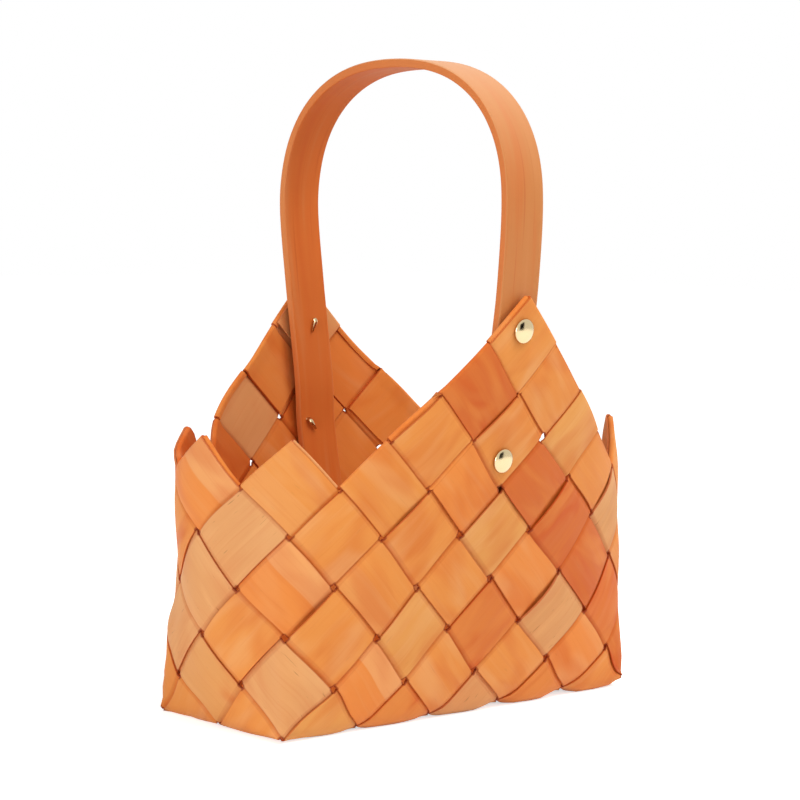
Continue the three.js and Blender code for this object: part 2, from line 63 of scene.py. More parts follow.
# Bag shape
FLARE_POWER = 0.6
FLARE_START_ROW = 0.15
ROW_RISE = 0.975
BASE_EDGE_SOFTNESS = 0.005
CORNER_SOFTNESS = 0.009
SHARP_CORNER = 0.00001
MOUTH_STEPS = 720
TANGENT_STEP = 0.0005

# Strip mesh
ACROSS_SEGMENTS = 8
FLAT_SHARES = (-1.0, -0.86, -0.6, -0.3, 0.0, 0.3, 0.6, 0.86, 1.0)
RAMP_SHARES = (0.3, 0.5, 0.7)
FOLD_STEPS = 8
TAIL_STEPS = 6
ROLL_STAND = 0.0001
ROLL_RAMP = 0.004
TAIL_SHORTFALL = 0.001
LIP_LENGTH = 0.0016
LIP_STEPS = 2
LIP_TUCK = 0.3
GRAIN_STRIDE = 0.731
STRIP_EDGE = 0.00015
SHARP_ANGLE = math.radians(50)
# Run of a strip's slow noises in metres, and how far apart the strips' own noises lie
WANDER_RUN = 0.07
WANDER_STRIDE = 3.7
WOBBLE_RUN = 0.05
WOBBLE_STRIDE = 5.3
WOBBLE_LEVEL = 4.0
WIDTH_WOBBLE = 0.03
END_SPREAD = 0.04
EDGE_BOW = 0.5
LIFT_CHANCES = (0.15, 0.85)
INNER_LIFT = 0.4
CROSS_LIFT = 0.2
CROWN_SHADE = 0.15
PRESSED_REACH = 0.005
FREE_REACH = 0.016

# Tones of the dyed strips by set and number, each from its first end to its last
FIRST_SET_TONES = (
    ("amber", "straw"), ("rust", "orange"), ("tan", "straw"), ("red", "orange"),
    ("orange", "red"), ("rust", "rust"), ("orange", "orange"),
)
SECOND_SET_TONES = (
    ("apricot", "apricot"), ("apricot", "apricot"), ("straw", "straw"), ("two_tone", "two_tone"),
    ("half_light", "half_light"), ("apricot", "apricot"), ("bright", "bright"),
)
TONE_SLOTS = {"rust": "chip_rust", "tan": "chip_pale", "straw": "chip_pale", "two_tone": "chip_pale"}
PLAIN_SLOT = "chip_orange"
# Shares of the length between which a strip changes from its first tone to its last
FADES = {
    "amber": (0.35, 0.65), "tan": (0.1, 0.5), "rust": (0.12, 0.42), "red": (0.2, 0.42),
    "orange": (0.6, 0.8),
}
# Patterns of the dyed chip: run along the grain and width across it in metres, and the range of the noise
# over which each comes in. Real fibres are finer than a pixel, so theirs are drawn coarser
CHIP_PATTERNS = {
    "pool": (0.034, 0.015, (0.44, 0.72)),
    "bare": (0.040, 0.013, (0.46, 0.72)),
    "streak": (0.08, 0.0035, (0.5, 0.7)),
    "fibre": (0.03, 0.001, (0.5, 0.75)),
    "fleck": (0.008, 0.0011, (0.68, 0.78)),
}
PATTERN_SHIFT = (3.1, 7.7, 0.0)
CHIP_DETAIL = 1.5
# How strongly a strip shows each pattern and the painted shade where it lies under another, how the
# grain swirls and which colour its bare clouds have, then where a tone differs from that
PLAIN_FIGURE = {
    "pool": 0.38, "bare": 0.34, "streak": 0.1, "fibre": 0.1, "fleck": 0.1, "tuck_shade": 0.35, "swirl": 0.5,
    "pale": "pale_wood",
}
TONE_FIGURES = {
    "red": {"pool": 0.6, "bare": 0.5, "swirl": 1.0, "pale": "orange"},
    "rust": {"pool": 0.75, "bare": 0.5, "swirl": 1.0, "pale": "orange"},
    "straw": {"pool": 0.15, "bare": 0.45, "streak": 0.2, "fleck": 0.5, "tuck_shade": 0.1},
    "tan": {"pool": 0.15, "bare": 0.3, "streak": 0.2, "fleck": 0.5, "tuck_shade": 0.1},
    "amber": {"tuck_shade": 0.1},
    "two_tone": {"pool": 0.35, "bare": 0.15},
}
# Strips sliced across two colours of wood: which edge is pale, where the change lies and how strong it is
SPLIT_TONES = {
    "two_tone": {"colour": "bright", "edge": -1.0, "place": -0.003, "strength": 0.5},
    "half_light": {"colour": "apricot", "edge": 1.0, "place": 0.001, "strength": 0.2},
}
SPLIT_RAGGED = 0.002
SPLIT_SOFTNESS = 0.0005
# Painted shade where a strip dives under another and in the corners of the weave, and along its cut edges
# extra dye
# with a painted gap shadow: the range over which each comes in, as a share or in metres from the edge, and
# its strength
DIVE_RANGE = (0.9, 1.0)
DIVE_SHADE = 0.18
EDGE_SOAK = 0.0005
EDGE_DYE_AND_SHADE = 0.55
NOTCH_DIVE = 0.8
NOTCH_EDGE = (0.0013, 0.0003)
NOTCH_RANGE = (0.2, 0.9)
NOTCH_SHADE = 0.8

# Surfaces: gloss, relief and roughness of each finish, where a noise drives it between two bounds
WOOD_IOR = 1.5
CHIP_GLOSS = 0.2
CHIP_RELIEF = {"Strength": 0.3, "Distance": 0.00008}
CHIP_ROUGHNESS = {"From Min": 0.3, "From Max": 0.7, "To Min": 0.52, "To Max": 0.66}
LATH_GLOSS = 0.25
LATH_RELIEF = {"Strength": 0.3, "Distance": 0.0001}
LATH_ROUGHNESS = {"inside": 0.65, "outside": 0.5}
BRASS_RELIEF = {"Strength": 0.15, "Distance": 0.0002}
BRASS_ROUGHNESS = {"From Min": 0.3, "From Max": 0.7, "To Min": 0.15, "To Max": 0.25}
HAZE_SIZE = 0.003
HAZE_DETAIL = 3.0

# Hand-driven tacks of each peak: rows below its tip, place to the right as seen from outside,
# and swing of the clinched tip to the right from straight down
TACKS = {
    "front": {
        "upper": {"drop": 0.37, "aside": -0.0022, "swing": 0.0},
        "lower": {"drop": 1.73, "aside": -0.0053, "swing": 0.0},
    },
    "back": {
        "upper": {"drop": 0.47, "aside": 0.001, "swing": math.radians(20)},
        "lower": {"drop": 1.58, "aside": 0.0065, "swing": math.radians(-40)},
    },
}
TACK_STEPS = 32
SHANK_STEPS = 12
DOME_DEGREES = (78, 66, 54, 42, 30, 18, 8, 0)
CLINCH_DEGREES = (0, 30, 60, 90)
MERGE_REACH = 0.000001

# Sideways lean of each leg at the peak's tip and at its foot, to the right as seen from outside
LEANS = {"front": (-0.0008, -0.0008), "back": (0.004, -0.002)}
LEG_STEPS = 6
LEG_CLEARANCE = 0.0004
# Rows below a peak's tip between which the tails folded in behind the wall end, and their half layers
TAIL_DROPS = (1.75, 1.0)
TAIL_HALF_LAYERS = 4.0
ARCH_STEPS = 15
ROUNDING_STEPS = 6
LATH_SEGMENTS = 6
LATH_EDGE_SEGMENTS = 3
# Shares of the lath's length between which it narrows from its front leg to its back leg
NARROWING = (0.3, 0.55)
# Share of the lath's length where a painted sheen lies brightest on the outside of the arch top, how far it
# reaches in metres and how strongly
SHEEN_PLACE = 0.45
SHEEN_REACH = 0.08
SHEEN_STRENGTH = 0.6
# Run and width of the lath's bands and pores in metres; real pores are finer than a pixel, so theirs are
# drawn coarser
LATH_PATTERNS = {"band": (0.11, 0.008), "pore": (0.10, 0.0016)}
LATH_DETAIL = 2.0
# Range of the noise, or metres from the edge, over which each tint of the lath comes in, and its strength
DARK_BANDS = ((0.48, 0.74), 0.3)
PALE_BANDS = ((0.5, 0.28), 0.35)
DARK_PORES = ((0.6, 0.76), 0.3)
PALE_EDGES = ((0.0007, 0.0002), 0.3)

# Places where use has pulled the soft walls out of true: column and row, reach in cells, shift in metres
TUGS = (
    (5.0, 3.0, 0.9, (-0.0008, 0.0007, 0.0026)),
    (5.5, 3.0, 0.7, (-0.0036, 0.0030, 0.0030)),
    (4.0, 3.2, 0.7, (0.0014, -0.0012, 0.0)),
    (1.9, 4.0, 0.7, (0.0006, 0.0, -0.0006)),
    (12.0, 1.5, 1.0, (0.0019, -0.0018, 0.0)),
    (13.0, 3.0, 0.5, (0.0, 0.0, 0.0018)),
    (11.0, 3.3, 0.8, (-0.0022, 0.0018, 0.0012)),
    (0.0, 0.0, 0.8, (0.0, 0.0, 0.0012)),
    (8.7, 3.9, 0.9, (-0.0010, 0.0, -0.0020)),
    (8.0, 3.0, 0.7, (-0.0005, 0.0, -0.0005)),
    (3.0, 0.0, 0.3, (0.0, 0.0006, 0.0018)),
    (4.0, 0.0, 0.35, (0.0, 0.0008, 0.0024)),
    (2.0, 0.0, 0.25, (0.0, 0.0004, 0.0009)),
    (1.0, 0.0, 0.25, (0.0, 0.0004, 0.0008)),
    (12.0, 0.0, 1.2, (0.0018, -0.0012, 0.0)),
    (5.0, 0.0, 1.0, (-0.0015, 0.0010, 0.0)),
    (5.0, 0.0, 0.5, (0.0, 0.0, 0.0008)),
    (5.0, 0.0, 0.18, (-0.0004, 0.0003, 0.0024)),
    (12.3, 2.75, 0.4, (-0.0003, 0.0003, 0.0010)),
    (12.02, 2.82, 0.28, (-0.0017, 0.0015, 0.0003)),
    (11.85, 2.85, 0.25, (0.0009, -0.0008, 0.0004)),
    (12.0, 0.9, 0.35, (-0.0014, 0.0012, 0.0)),
)

# Corners of the weave that stand open or are pushed shut: column, row and shift of the edges in metres
OPEN_CORNERS = (
    (3.0, 3.0, 0.0008), (10.0, 3.0, -0.0001), (10.5, 2.5, -0.0001), (9.0, 3.0, -0.0005),
    (8.5, 2.5, 0.0006), (2.0, 3.0, -0.0006), (8.5, 3.5, -0.0012), (1.5, 3.5, -0.0008),
    (7.5, 1.5, -0.0011), (7.5, 2.5, -0.0011),
    *((float(column), 0.0, -0.0008) for column in range(COLUMNS)),
)
CORNER_REACH = 0.006

# Corners where the hand-laid strips stray over the walls: column and row, shift in columns and in rows
STRAYS = (
    (11.5, 1.5, -0.05, 0.0), (11.5, 2.5, -0.20, 0.02), (12.0, 1.0, -0.08, 0.0), (12.0, 2.0, -0.10, 0.0),
    (12.0, 3.0, -0.14, 0.0), (12.5, 0.5, -0.15, -0.07), (12.5, 1.5, -0.18, -0.06), (12.5, 2.5, -0.24, 0.02),
    (13.0, 1.0, -0.09, -0.03), (13.0, 2.0, -0.06, 0.035), (13.0, 3.0, 0.05, -0.01),
    (13.5, 0.5, -0.05, 0.0), (13.5, 1.5, -0.07, -0.01), (13.5, 2.5, -0.01, 0.045),
    (0.0, 1.0, 0.0, 0.04), (0.0, 2.0, 0.02, 0.065), (0.0, 3.0, 0.025, 0.037),
    (0.5, 0.5, 0.11, -0.015), (0.5, 1.5, 0.015, 0.04), (0.5, 2.5, 0.005, 0.05),
    (1.0, 1.0, 0.06, -0.03), (1.0, 2.0, 0.0, 0.03), (1.0, 3.0, -0.02, 0.03),
    (1.5, 0.5, 0.005, -0.025), (1.5, 1.5, -0.02, -0.02), (1.5, 2.5, -0.015, 0.0),
    (2.0, 1.0, -0.04, 0.0), (2.0, 2.0, -0.05, 0.0), (2.0, 3.0, -0.04, 0.0), (2.0, 4.0, 0.015, 0.03),
    (2.5, 0.5, -0.04, -0.025), (2.5, 1.5, -0.045, 0.0), (2.5, 2.5, -0.08, -0.035), (2.5, 3.5, -0.01, -0.025),
    (3.0, 1.0, -0.02, -0.02), (3.0, 2.0, -0.065, -0.01), (3.0, 3.0, -0.04, -0.025),
    (3.5, 0.5, 0.055, -0.01), (3.5, 1.5, 0.045, -0.025), (3.5, 2.5, -0.01, 0.02), (3.5, 3.5, 0.055, -0.03),
    (4.0, 1.0, 0.135, -0.04), (4.0, 2.0, 0.08, 0.055), (4.5, 0.5, 0.16, -0.02), (4.5, 1.5, 0.12, 0.035),
    (4.5, 2.5, 0.18, 0.03), (5.0, 1.0, 0.08, 0.0), (5.0, 2.0, 0.08, 0.01),
    (8.5, 2.5, 0.05, 0.05), (10.0, 3.0, -0.045, -0.03), (10.5, 2.5, -0.045, 0.0),
)
STRAY_REACH = 0.72
STRAY_START_ROW = 0.5

# Photograph's camera
CAMERA_PLACE = Vector((-0.7723, -0.8247, 0.2329))
CAMERA_AZIMUTH = math.radians(-42.96)
CAMERA_ELEVATION = math.radians(4.908)
CAMERA_ROLL = math.radians(1.456)
CAMERA_FOCUS = 2516.6
IMAGE_SIZE = 800
SENSOR_WIDTH = 36.0

# Soft lamps, each with its place and its power in watts, and the one that the brass mirrors
LAMPS = {
    "key_softbox": (Vector((-1.68, -0.15, 0.25)), 16.0),
    "fill_softbox": (Vector((0.95, -1.4, 0.9)), 5.0),
    "top_softbox": (Vector((0.3, -0.7, 1.5)), 17.5),
}
LAMP_SIZE = 1.0
LAMP_AIM = Vector((0.0, 0.0, 0.1))
MIRRORED_LAMP = "key_softbox"
WORLD_LIGHT = 0.38
FLOOR_SIZE = 8.0
FLOOR_GLOW = 0.74
FLOOR_ROUGHNESS = 0.9

# Black card that the tacks mirror
CARD_PLACE = Vector((0.14, -1.26, 0.36))
CARD_WIDTH = 0.75
CARD_HEIGHT = 1.1


def linear(hex_colour):
    """Linear RGBA of an sRGB hex colour."""
    channels = [int(hex_colour[place:place + 2], 16) / 255 for place in (1, 3, 5)]
    bent = [c / 12.92 if c <= 0.04045 else ((c + 0.055) / 1.055) ** 2.4 for c in channels]
    return (*bent, 1.0)


def smoothstep(value, low, high):
    share = min(max((value - low) / (high - low), 0.0), 1.0)
    return share * share * (3.0 - 2.0 * share)


def bell(share):
    """Smooth fall from 1 in the middle to 0 at a share of 1."""
    return (1.0 - share * share) ** 2


def turn_from(column, other):
    """Columns from another column, the short way round the bag."""
    return (column - other + COLUMNS / 2) % COLUMNS - COLUMNS / 2


def running_lengths(points):
    lengths = [0.0]
    for here, after in zip(points, points[1:]):
        lengths.append(lengths[-1] + (after - here).length)
    return lengths


def length_property(name, description, default):
    return FloatProperty(
        name=name, description=description, default=default, min=0.0, unit="LENGTH", precision=5,
    )


def colour_property(name, description, hex_colour):
    return FloatVectorProperty(
        name=name, description=description, default=linear(hex_colour), size=4, min=0.0, max=1.0,
        subtype="COLOR",
    )


class PlaitSizes(bpy.types.PropertyGroup):
    """Sizes of the strips and of the plaited walls"""

    strip_pitch: length_property("Strip pitch", "Distance between the middles of neighbouring strips", 0.030)
    strip_gap: length_property("Strip gap", "Open space between neighbouring strips", 0.0022)
    strip_thickness: length_property("Strip thickness", "Thickness of the veneer", 0.0008)
    layer_clearance: length_property("Layer clearance", "Space between two crossing strips", 0.0001)
    mouth_length: length_property("Mouth length", "Length of the oval of the walls at the teeth", 0.2376)
    mouth_width: length_property("Mouth width", "Width of the oval of the walls at the teeth", 0.134)
    outer_bow: length_property("Outer bow", "How far a strip bows out where it passes over another", 0.0008)
    inner_bow: length_property("Inner bow", "How far a strip bows in where it passes under another", 0.0005)
    wander: length_property("Wander", "How far a strip strays sideways from its straight way", 0.0007)
    edge_lift: length_property("Edge lift", "How far an edge may lift where a strip passes over", 0.0015)


class HandleSizes(bpy.types.PropertyGroup):
    """Sizes of the bent-wood handle"""

    width: length_property("Width", "Width of the lath at its back foot", 0.0213)
    front_width: length_property("Front width", "Width of the lath in its front leg", 0.0226)
    thickness: length_property("Thickness", "Thickness of the lath", 0.0039)
    edge: length_property("Edge rounding", "Rounding of the lath's four long edges", 0.0009)
    rise: length_property("Rise", "Height of the arch above the tips of the peaks", 0.0983)
    front_bulge: length_property("Front bulge", "How far the front leg spreads above its peak", 0.0016)
    back_bulge: length_property("Back bulge", "How far the back leg spreads above its peak", 0.005)
    arch_height: length_property("Arch height", "Height of the curved part of the handle", 0.063)
    arch_power: FloatProperty(
        name="Arch fullness", description="Squareness of the arch, 2 for an ellipse", default=2.35,
    )
    foot_drop: FloatProperty(
        name="Foot drop", description="Rows that the legs reach down inside the peaks", default=2.4,
    )


class TackSizes(bpy.types.PropertyGroup):
    """Sizes of the brass tacks"""

    head_diameter: length_property("Head diameter", "Diameter of the domed head", 0.011)
    head_height: length_property("Head height", "Height of the domed head", 0.0026)
    head_edge: length_property("Head edge", "Height of the head's upright edge", 0.0005)
    shank_diameter: length_property("Shank diameter", "Diameter of the shank", 0.002)
    tip_diameter: length_property("Tip diameter", "Diameter of the clinched tip", 0.0009)
    clinch: length_property("Clinch", "Length of the tip hammered over on the leg", 0.005)
    seat_gap: length_property("Seat gap", "Space between the head and the strip", 0.0003)


class Finishes(bpy.types.PropertyGroup):
    """Colours of the dyed wood, the brass and the floor"""

    amber: colour_property("Amber", "Tan-orange strips", "#e29b51")
    apricot: colour_property("Apricot", "Light orange strips", "#e69246")
    bright: colour_property("Bright orange", "Most vivid strips", "#e88b41")
    orange: colour_property("Orange", "Mid orange strips", "#e38d43")
    red: colour_property("Red orange", "Reddish strips", "#d6682e")
    rust: colour_property("Rust", "Darkest strips", "#d16b2f")
    straw: colour_property("Straw", "Palest strips", "#df9d62")
    tan: colour_property("Tan", "Pale strips that took a greyer dye", "#d6965b")
    pale_wood: colour_property("Pale wood", "Wood that took little dye", "#edb277")
    deep_dye: colour_property("Deep dye", "Wood where the dye pooled", "#cb5418")
    # Painted shade for the faces under a neighbouring strip, seen inside the bag, and the ends of each
    # crossing
    tuck_shade_colour: colour_property("Tucked dye", "Wood that lay under another strip in the dye", "#dd6a1e")
    # Cut-edge dye with a painted gap shadow; also painted shade where strips dive under, and the lath's pore
    # lines
    edge_dye_and_shade: colour_property("Edge dye", "Cut edges, which drank most dye", "#b03405")
    # Painted shade for the gaps in the corners of the weave
    notch_shade: colour_property("Notch", "Strip corners deep in the gaps of the weave", "#8f3208")
    fleck: colour_property("Fleck", "Short dark fibres", "#8a5526")
    handle_inside: colour_property("Handle inside", "Hollow face of the bent lath", "#d66f2c")
    handle_outside: colour_property("Handle outside", "Round face of the bent lath", "#c87e44")
    # Painted sheen on the outside of the arch top
    arch_top_sheen: colour_property("Stretched wood", "Outer fibres pulled pale over the arch", "#eeb385")
    handle_edge: colour_property("Handle edge", "Sawn edges of the lath", "#d8925b")
    brass: colour_property("Brass", "Tacks", "#d4c096")
    floor: colour_property("Floor", "Studio floor", "#f4f4f4")
    card: colour_property("Card", "Black card that the brass reflects", "#151412")


class Side:
    """One side of the base outline and the perimeter column where it starts."""

    def __init__(self, start, along, cells, first_column):
        self.start = Vector(start)
        self.along = Vector(along)
        self.inward = Vector((-along[1], along[0]))
        self.cells = cells
        self.first_column = first_column


class StripWay:
    """A straight band across the opened-out base, carried on up the two walls it meets."""

    def __init__(self, plait, start, start_cells, end, direction):
        self.start = start
        self.end = end
        self.direction = Vector(direction).normalized()
        self.across = Vector((-self.direction.y, self.direction.x))
        self.origin = start.start + start.along * start_cells * plait.cell
        to_end = (end.start - self.origin).dot(end.inward) / self.direction.dot(end.inward)
        end_cells = (self.origin + self.direction * to_end - end.start).dot(end.along) / plait.cell
        self.base_cells = round(to_end / plait.pitch)
        start_lean = -math.copysign(1.0, self.direction.dot(start.along))
        end_lean = math.copysign(1.0, self.direction.dot(end.along))
        self.start_lean = start_lean
        self.end_lean = end_lean
        start_rows, self.start_shared = climb(start.first_column + start_cells, start_lean)
        end_rows, self.end_shared = climb(end.first_column + end_cells, end_lean)
        self.first_cell = -start_rows
        self.last_cell = self.base_cells + end_rows

    def layer_at(self, cell):
        return self.start_lean if cell % 2 == 0 else -self.start_lean


def rim_row(column):
    """Rim of the woven walls: small teeth all round and a tall peak in each long wall."""
    wrapped = column % COLUMNS
    tooth = TOOTH_ROW - abs(wrapped - round(wrapped))
    return max(tooth, PEAK_ROW - abs(wrapped % (COLUMNS / 2) - FRONT_PEAK_COLUMN))


def is_woven(column, row):
    return row < rim_row(column)


def climb(column, lean):
    """Rows that a strip climbs from the base edge, and whether the strip it last crosses ends there too."""
    rows = 0
    while is_woven(column + lean * (rows + 1) / 2, (rows + 1) / 2):
        rows += 1
    return rows, not is_woven(column + lean * (rows - 1) / 2, (rows + 1) / 2)


def crease_pull(distance, softness):
    return max(softness - distance, 0.0) ** 2 / (4.0 * softness)


class Plait:
    """Middle surface of the weave and the sections of its strips, from the panel's sizes."""

    def __init__(self, sizes):
        self.sizes = sizes
        self.pitch = sizes.strip_pitch
        self.cell = self.pitch * math.sqrt(2.0)
        self.layer = (sizes.strip_thickness + sizes.layer_clearance) / 2
        self.leg_layer = (sizes.strip_thickness + LEG_CLEARANCE) / 2
        self.half_strip = (self.pitch - sizes.strip_gap) / 2
        self.half_length = LONG_SIDE_CELLS * self.cell / 2
        self.half_width = SHORT_SIDE_CELLS * self.cell / 2
        self.floor_level = self.layer + sizes.strip_thickness / 2
        far, near = self.half_length, self.half_width
        self.front = Side((-far, -near), (1, 0), LONG_SIDE_CELLS, 0)
        self.right = Side((far, -near), (0, 1), SHORT_SIDE_CELLS, LONG_SIDE_CELLS)
        self.back = Side((far, near), (-1, 0), LONG_SIDE_CELLS, STRIPS_PER_SET)
        self.left = Side((-far, near), (0, -1), SHORT_SIDE_CELLS, STRIPS_PER_SET + LONG_SIDE_CELLS)
        self.sides = (self.front, self.right, self.back, self.left)
        self.mouth_lengths = running_lengths([self.mouth_point(step) for step in range(MOUTH_STEPS + 1)])
        self.tack_places = []
        for side, tacks in TACKS.items():
            for tack in tacks.values():
                column = PEAK_COLUMNS[side] + tack["aside"] / self.cell
                self.tack_places.append(self.wall_point(column, (PEAK_ROW - tack["drop"]) * self.cell))

    def mouth_point(self, step):
        angle = 2 * math.pi * step / MOUTH_STEPS
        half_length = self.sizes.mouth_length / 2
        half_width = self.sizes.mouth_width / 2
        return Vector((half_length * math.cos(angle), half_width * math.sin(angle)))

    def mouth_at(self, column):
        right_end = LONG_SIDE_CELLS + SHORT_SIDE_CELLS / 2
        wanted = (column - right_end) % COLUMNS / COLUMNS * self.mouth_lengths[-1]
        after = min(bisect_right(self.mouth_lengths, wanted), MOUTH_STEPS)
        low, high = self.mouth_lengths[after - 1], self.mouth_lengths[after]
        return self.mouth_point(after - 1 + (wanted - low) / (high - low))

    def corner_fade(self, distance):
        return min(max(2 * distance / self.cell, 0.0), 1.0)

    def flare(self, row):
        start = FLARE_START_ROW ** FLARE_POWER
        mouth = (TOOTH_ROW + FLARE_START_ROW) ** FLARE_POWER
        return ((row + FLARE_START_ROW) ** FLARE_POWER - start) / (mouth - start)

    def wall_point(self, column, height):
        wrapped = column % COLUMNS
        side = next(each for each in reversed(self.sides) if each.first_column <= wrapped)
        from_start = (wrapped - side.first_column) * self.cell
        from_end = side.cells * self.cell - from_start
        softness = max(CORNER_SOFTNESS * smoothstep(height, 0.0, self.cell), SHARP_CORNER)
        start_pull = crease_pull(from_start, softness)
        end_pull = crease_pull(from_end, softness)
        fade = self.corner_fade(min(from_start, from_end))
        pull = crease_pull(height, BASE_EDGE_SOFTNESS) * fade
        point = side.start + side.along * (from_start + start_pull - end_pull)
        point += side.inward * (start_pull + end_pull + pull)
        point = point.lerp(self.mouth_at(column), self.flare(height / self.cell))
        return Vector((point.x, point.y, self.floor_level + height * ROW_RISE + pull))

    def base_point(self, x, y):
        end_gap = self.half_length - abs(x)
        side_gap = self.half_width - abs(y)
        end_pull = crease_pull(end_gap, BASE_EDGE_SOFTNESS) * self.corner_fade(side_gap)
        side_pull = crease_pull(side_gap, BASE_EDGE_SOFTNESS) * self.corner_fade(end_gap)
        return Vector((
            x - math.copysign(end_pull, x),
            y - math.copysign(side_pull, y),
            self.floor_level + end_pull + side_pull,
        ))

    def tugged(self, point, column, row):
        """A point of the true surface after the pulls of use."""
        moved = point.copy()
        for tug_column, tug_row, reach, shift in TUGS:
            share = math.hypot(turn_from(column, tug_column), row - tug_row) / reach
            if share < 1.0:
                moved += Vector(shift) * bell(share)
        return moved

    def strayed(self, column, row):
        """Column and row that a point of the true weave has strayed to."""
        firm = smoothstep(row, 0.0, STRAY_START_ROW)
        columns_aside = 0.0
        rows_aside = 0.0
        for corner_column, corner_row, column_shift, row_shift in STRAYS:
            share = math.hypot(turn_from(column, corner_column), row - corner_row) / STRAY_REACH
            if share < 1.0:
                pull = firm * bell(share)
                columns_aside += column_shift * pull
                rows_aside += row_shift * pull
        return column + columns_aside, row + rows_aside

    def opened(self, column, row):
        """Column and row of a point after the edges round an open corner have moved aside."""
        for corner_column, corner_row, shift in OPEN_CORNERS:
            turn = turn_from(column, corner_column)
            gap = math.hypot(turn, row - corner_row) * self.cell
            if TANGENT_STEP / 2 < gap < CORNER_REACH:
                push = shift / gap * bell(gap / CORNER_REACH)
                column += turn * push
                row += (row - corner_row) * push
        return column, row

    def way_point(self, way, along, across):
        flat = way.origin + way.direction * along + way.across * across
        for side in (way.start, way.end):
            offset = flat - side.start
            height = -offset.dot(side.inward)
            if height > 0.0:
                column = side.first_column + offset.dot(side.along) / self.cell
                column, row = self.strayed(*self.opened(column, height / self.cell))
                return self.tugged(self.wall_point(column, row * self.cell), column, row)
        nearest = min(self.sides, key=lambda each: (flat - each.start).dot(each.inward))
        offset = flat - nearest.start
        column = nearest.first_column + offset.dot(nearest.along) / self.cell
        column, row = self.opened(column, -offset.dot(nearest.inward) / self.cell)
        moved = nearest.start + nearest.along * (column - nearest.first_column) * self.cell
        moved -= nearest.inward * row * self.cell
        return self.tugged(self.base_point(moved.x, moved.y), column, row)

    def way_normal(self, way, along, across):
        steps = (TANGENT_STEP, -TANGENT_STEP)
        ahead, behind = (self.way_point(way, along + step, across) for step in steps)
        left, right = (self.way_point(way, along, across + step) for step in steps)
        return (left - right).cross(ahead - behind).normalized()

    def first_way(self, number):
        place = number - 0.5
        in_front = place < LONG_SIDE_CELLS
        return StripWay(
            self,
            self.front if in_front else self.right,
            place if in_front else place - LONG_SIDE_CELLS,
            self.left if place < SHORT_SIDE_CELLS else self.back,
            (-1, 1),
        )

    def second_way(self, number):
        place = number - SHORT_SIDE_CELLS - 0.5
        on_left = place < 0.0
        return StripWay(
            self,
            self.left if on_left else self.front,
            SHORT_SIDE_CELLS + place if on_left else place,
            self.back if place < LONG_SIDE_CELLS - SHORT_SIDE_CELLS else self.right,
            (1, 1),
        )

    def fold(self, outside, shared):
        """Rim fold as distances past the last crossing's middle and depths from the middle surface."""
        stations = []
        stand = 0.0 if outside else ROLL_STAND
        middle_depth = -self.layer if outside else -3 * self.layer
        for step in range(FOLD_STEPS + 1):
            angle = math.pi / 2 - math.pi * step / FOLD_STEPS
            reach = self.half_strip + stand + 2 * self.layer * math.cos(angle)
            stations.append((reach, middle_depth + 2 * self.layer * math.sin(angle)))
        if outside:
            for step in range(1, LIP_STEPS + 1):
                share = step / LIP_STEPS
                depth = (LIP_TUCK * share - 3.0) * self.layer
                stations.append((self.half_strip - LIP_LENGTH * share, depth))
            return stations
        tail_depth = -5 * self.layer if shared else -3 * self.layer
        tail_start = self.half_strip - ROLL_RAMP
        tail_end = TAIL_SHORTFALL - self.half_strip
        for step in range(TAIL_STEPS + 1):
            share = step / TAIL_STEPS
            stations.append((tail_start + (tail_end - tail_start) * share, tail_depth))
        return stations

    def bow_at(self, way, cell):
        """Outward or inward bow of a strip in the middle of a crossing."""
        on_base = 0 < cell < way.base_cells
        at_end = cell in (way.first_cell, way.last_cell)
        at_edge = cell in (0, way.base_cells)
        if way.layer_at(cell) > 0:
            return 0.0 if on_base else self.sizes.outer_bow * (EDGE_BOW if at_edge else 1.0)
        return 0.0 if at_end or on_base else -self.sizes.inner_bow

    def lift_at(self, way, cell, order):
        """Lift of one long edge of a strip at a crossing, and the side of the strip that lifts."""
        if cell in (way.first_cell, way.last_cell) or 0 <= cell <= way.base_cells:
            return 0.0, 1.0
        chance = noise.cell(Vector((order + 0.5, cell + 0.5, 0.5)))
        leans_right = (way.start_lean if cell < 0 else way.end_lean) > 0
        upper_side = 1.0 if cell < 0 else -1.0
        lift = self.sizes.edge_lift * smoothstep(abs(chance), *LIFT_CHANCES)
        lift *= 1.0 if leans_right else CROSS_LIFT
        outward = 1.0 if way.layer_at(cell) > 0 else -INNER_LIFT
        return lift * outward, upper_side if leans_right or chance > 0 else -upper_side

    def section(self, way):
        """Lengthwise section of a strip: place along, depth, bow, crossing and share of its edge lift."""
        stations = []
        low_fold = self.fold(way.layer_at(way.first_cell) > 0, way.start_shared)
        for reach, depth in reversed(low_fold):
            stations.append((way.first_cell * self.pitch - reach, depth, 0.0, way.first_cell, 0.0))
        for cell in range(way.first_cell, way.last_cell + 1):
            depth = way.layer_at(cell) * self.layer
            bow = self.bow_at(way, cell)
            for share in FLAT_SHARES:
                folded_low = cell == way.first_cell and share == -1.0 and depth > 0
                folded_high = cell == way.last_cell and share == 1.0 and depth > 0
                if not folded_low and not folded_high:
                    along = cell * self.pitch + share * self.half_strip
                    stations.append((along, depth, bow * (1.0 - share * share), cell, 1.0 - share * share))
            if cell < way.last_cell:
                for share in RAMP_SHARES:
                    along = cell * self.pitch + self.half_strip + share * self.sizes.strip_gap
                    ramp = 1.0 - 2.0 * smoothstep(share, 0.0, 1.0)
                    stations.append((along, depth * ramp, 0.0, cell, 0.0))
        high_fold = self.fold(way.layer_at(way.last_cell) > 0, way.end_shared)
        for reach, depth in high_fold:
            stations.append((way.last_cell * self.pitch + reach, depth, 0.0, way.last_cell, 0.0))
        return stations

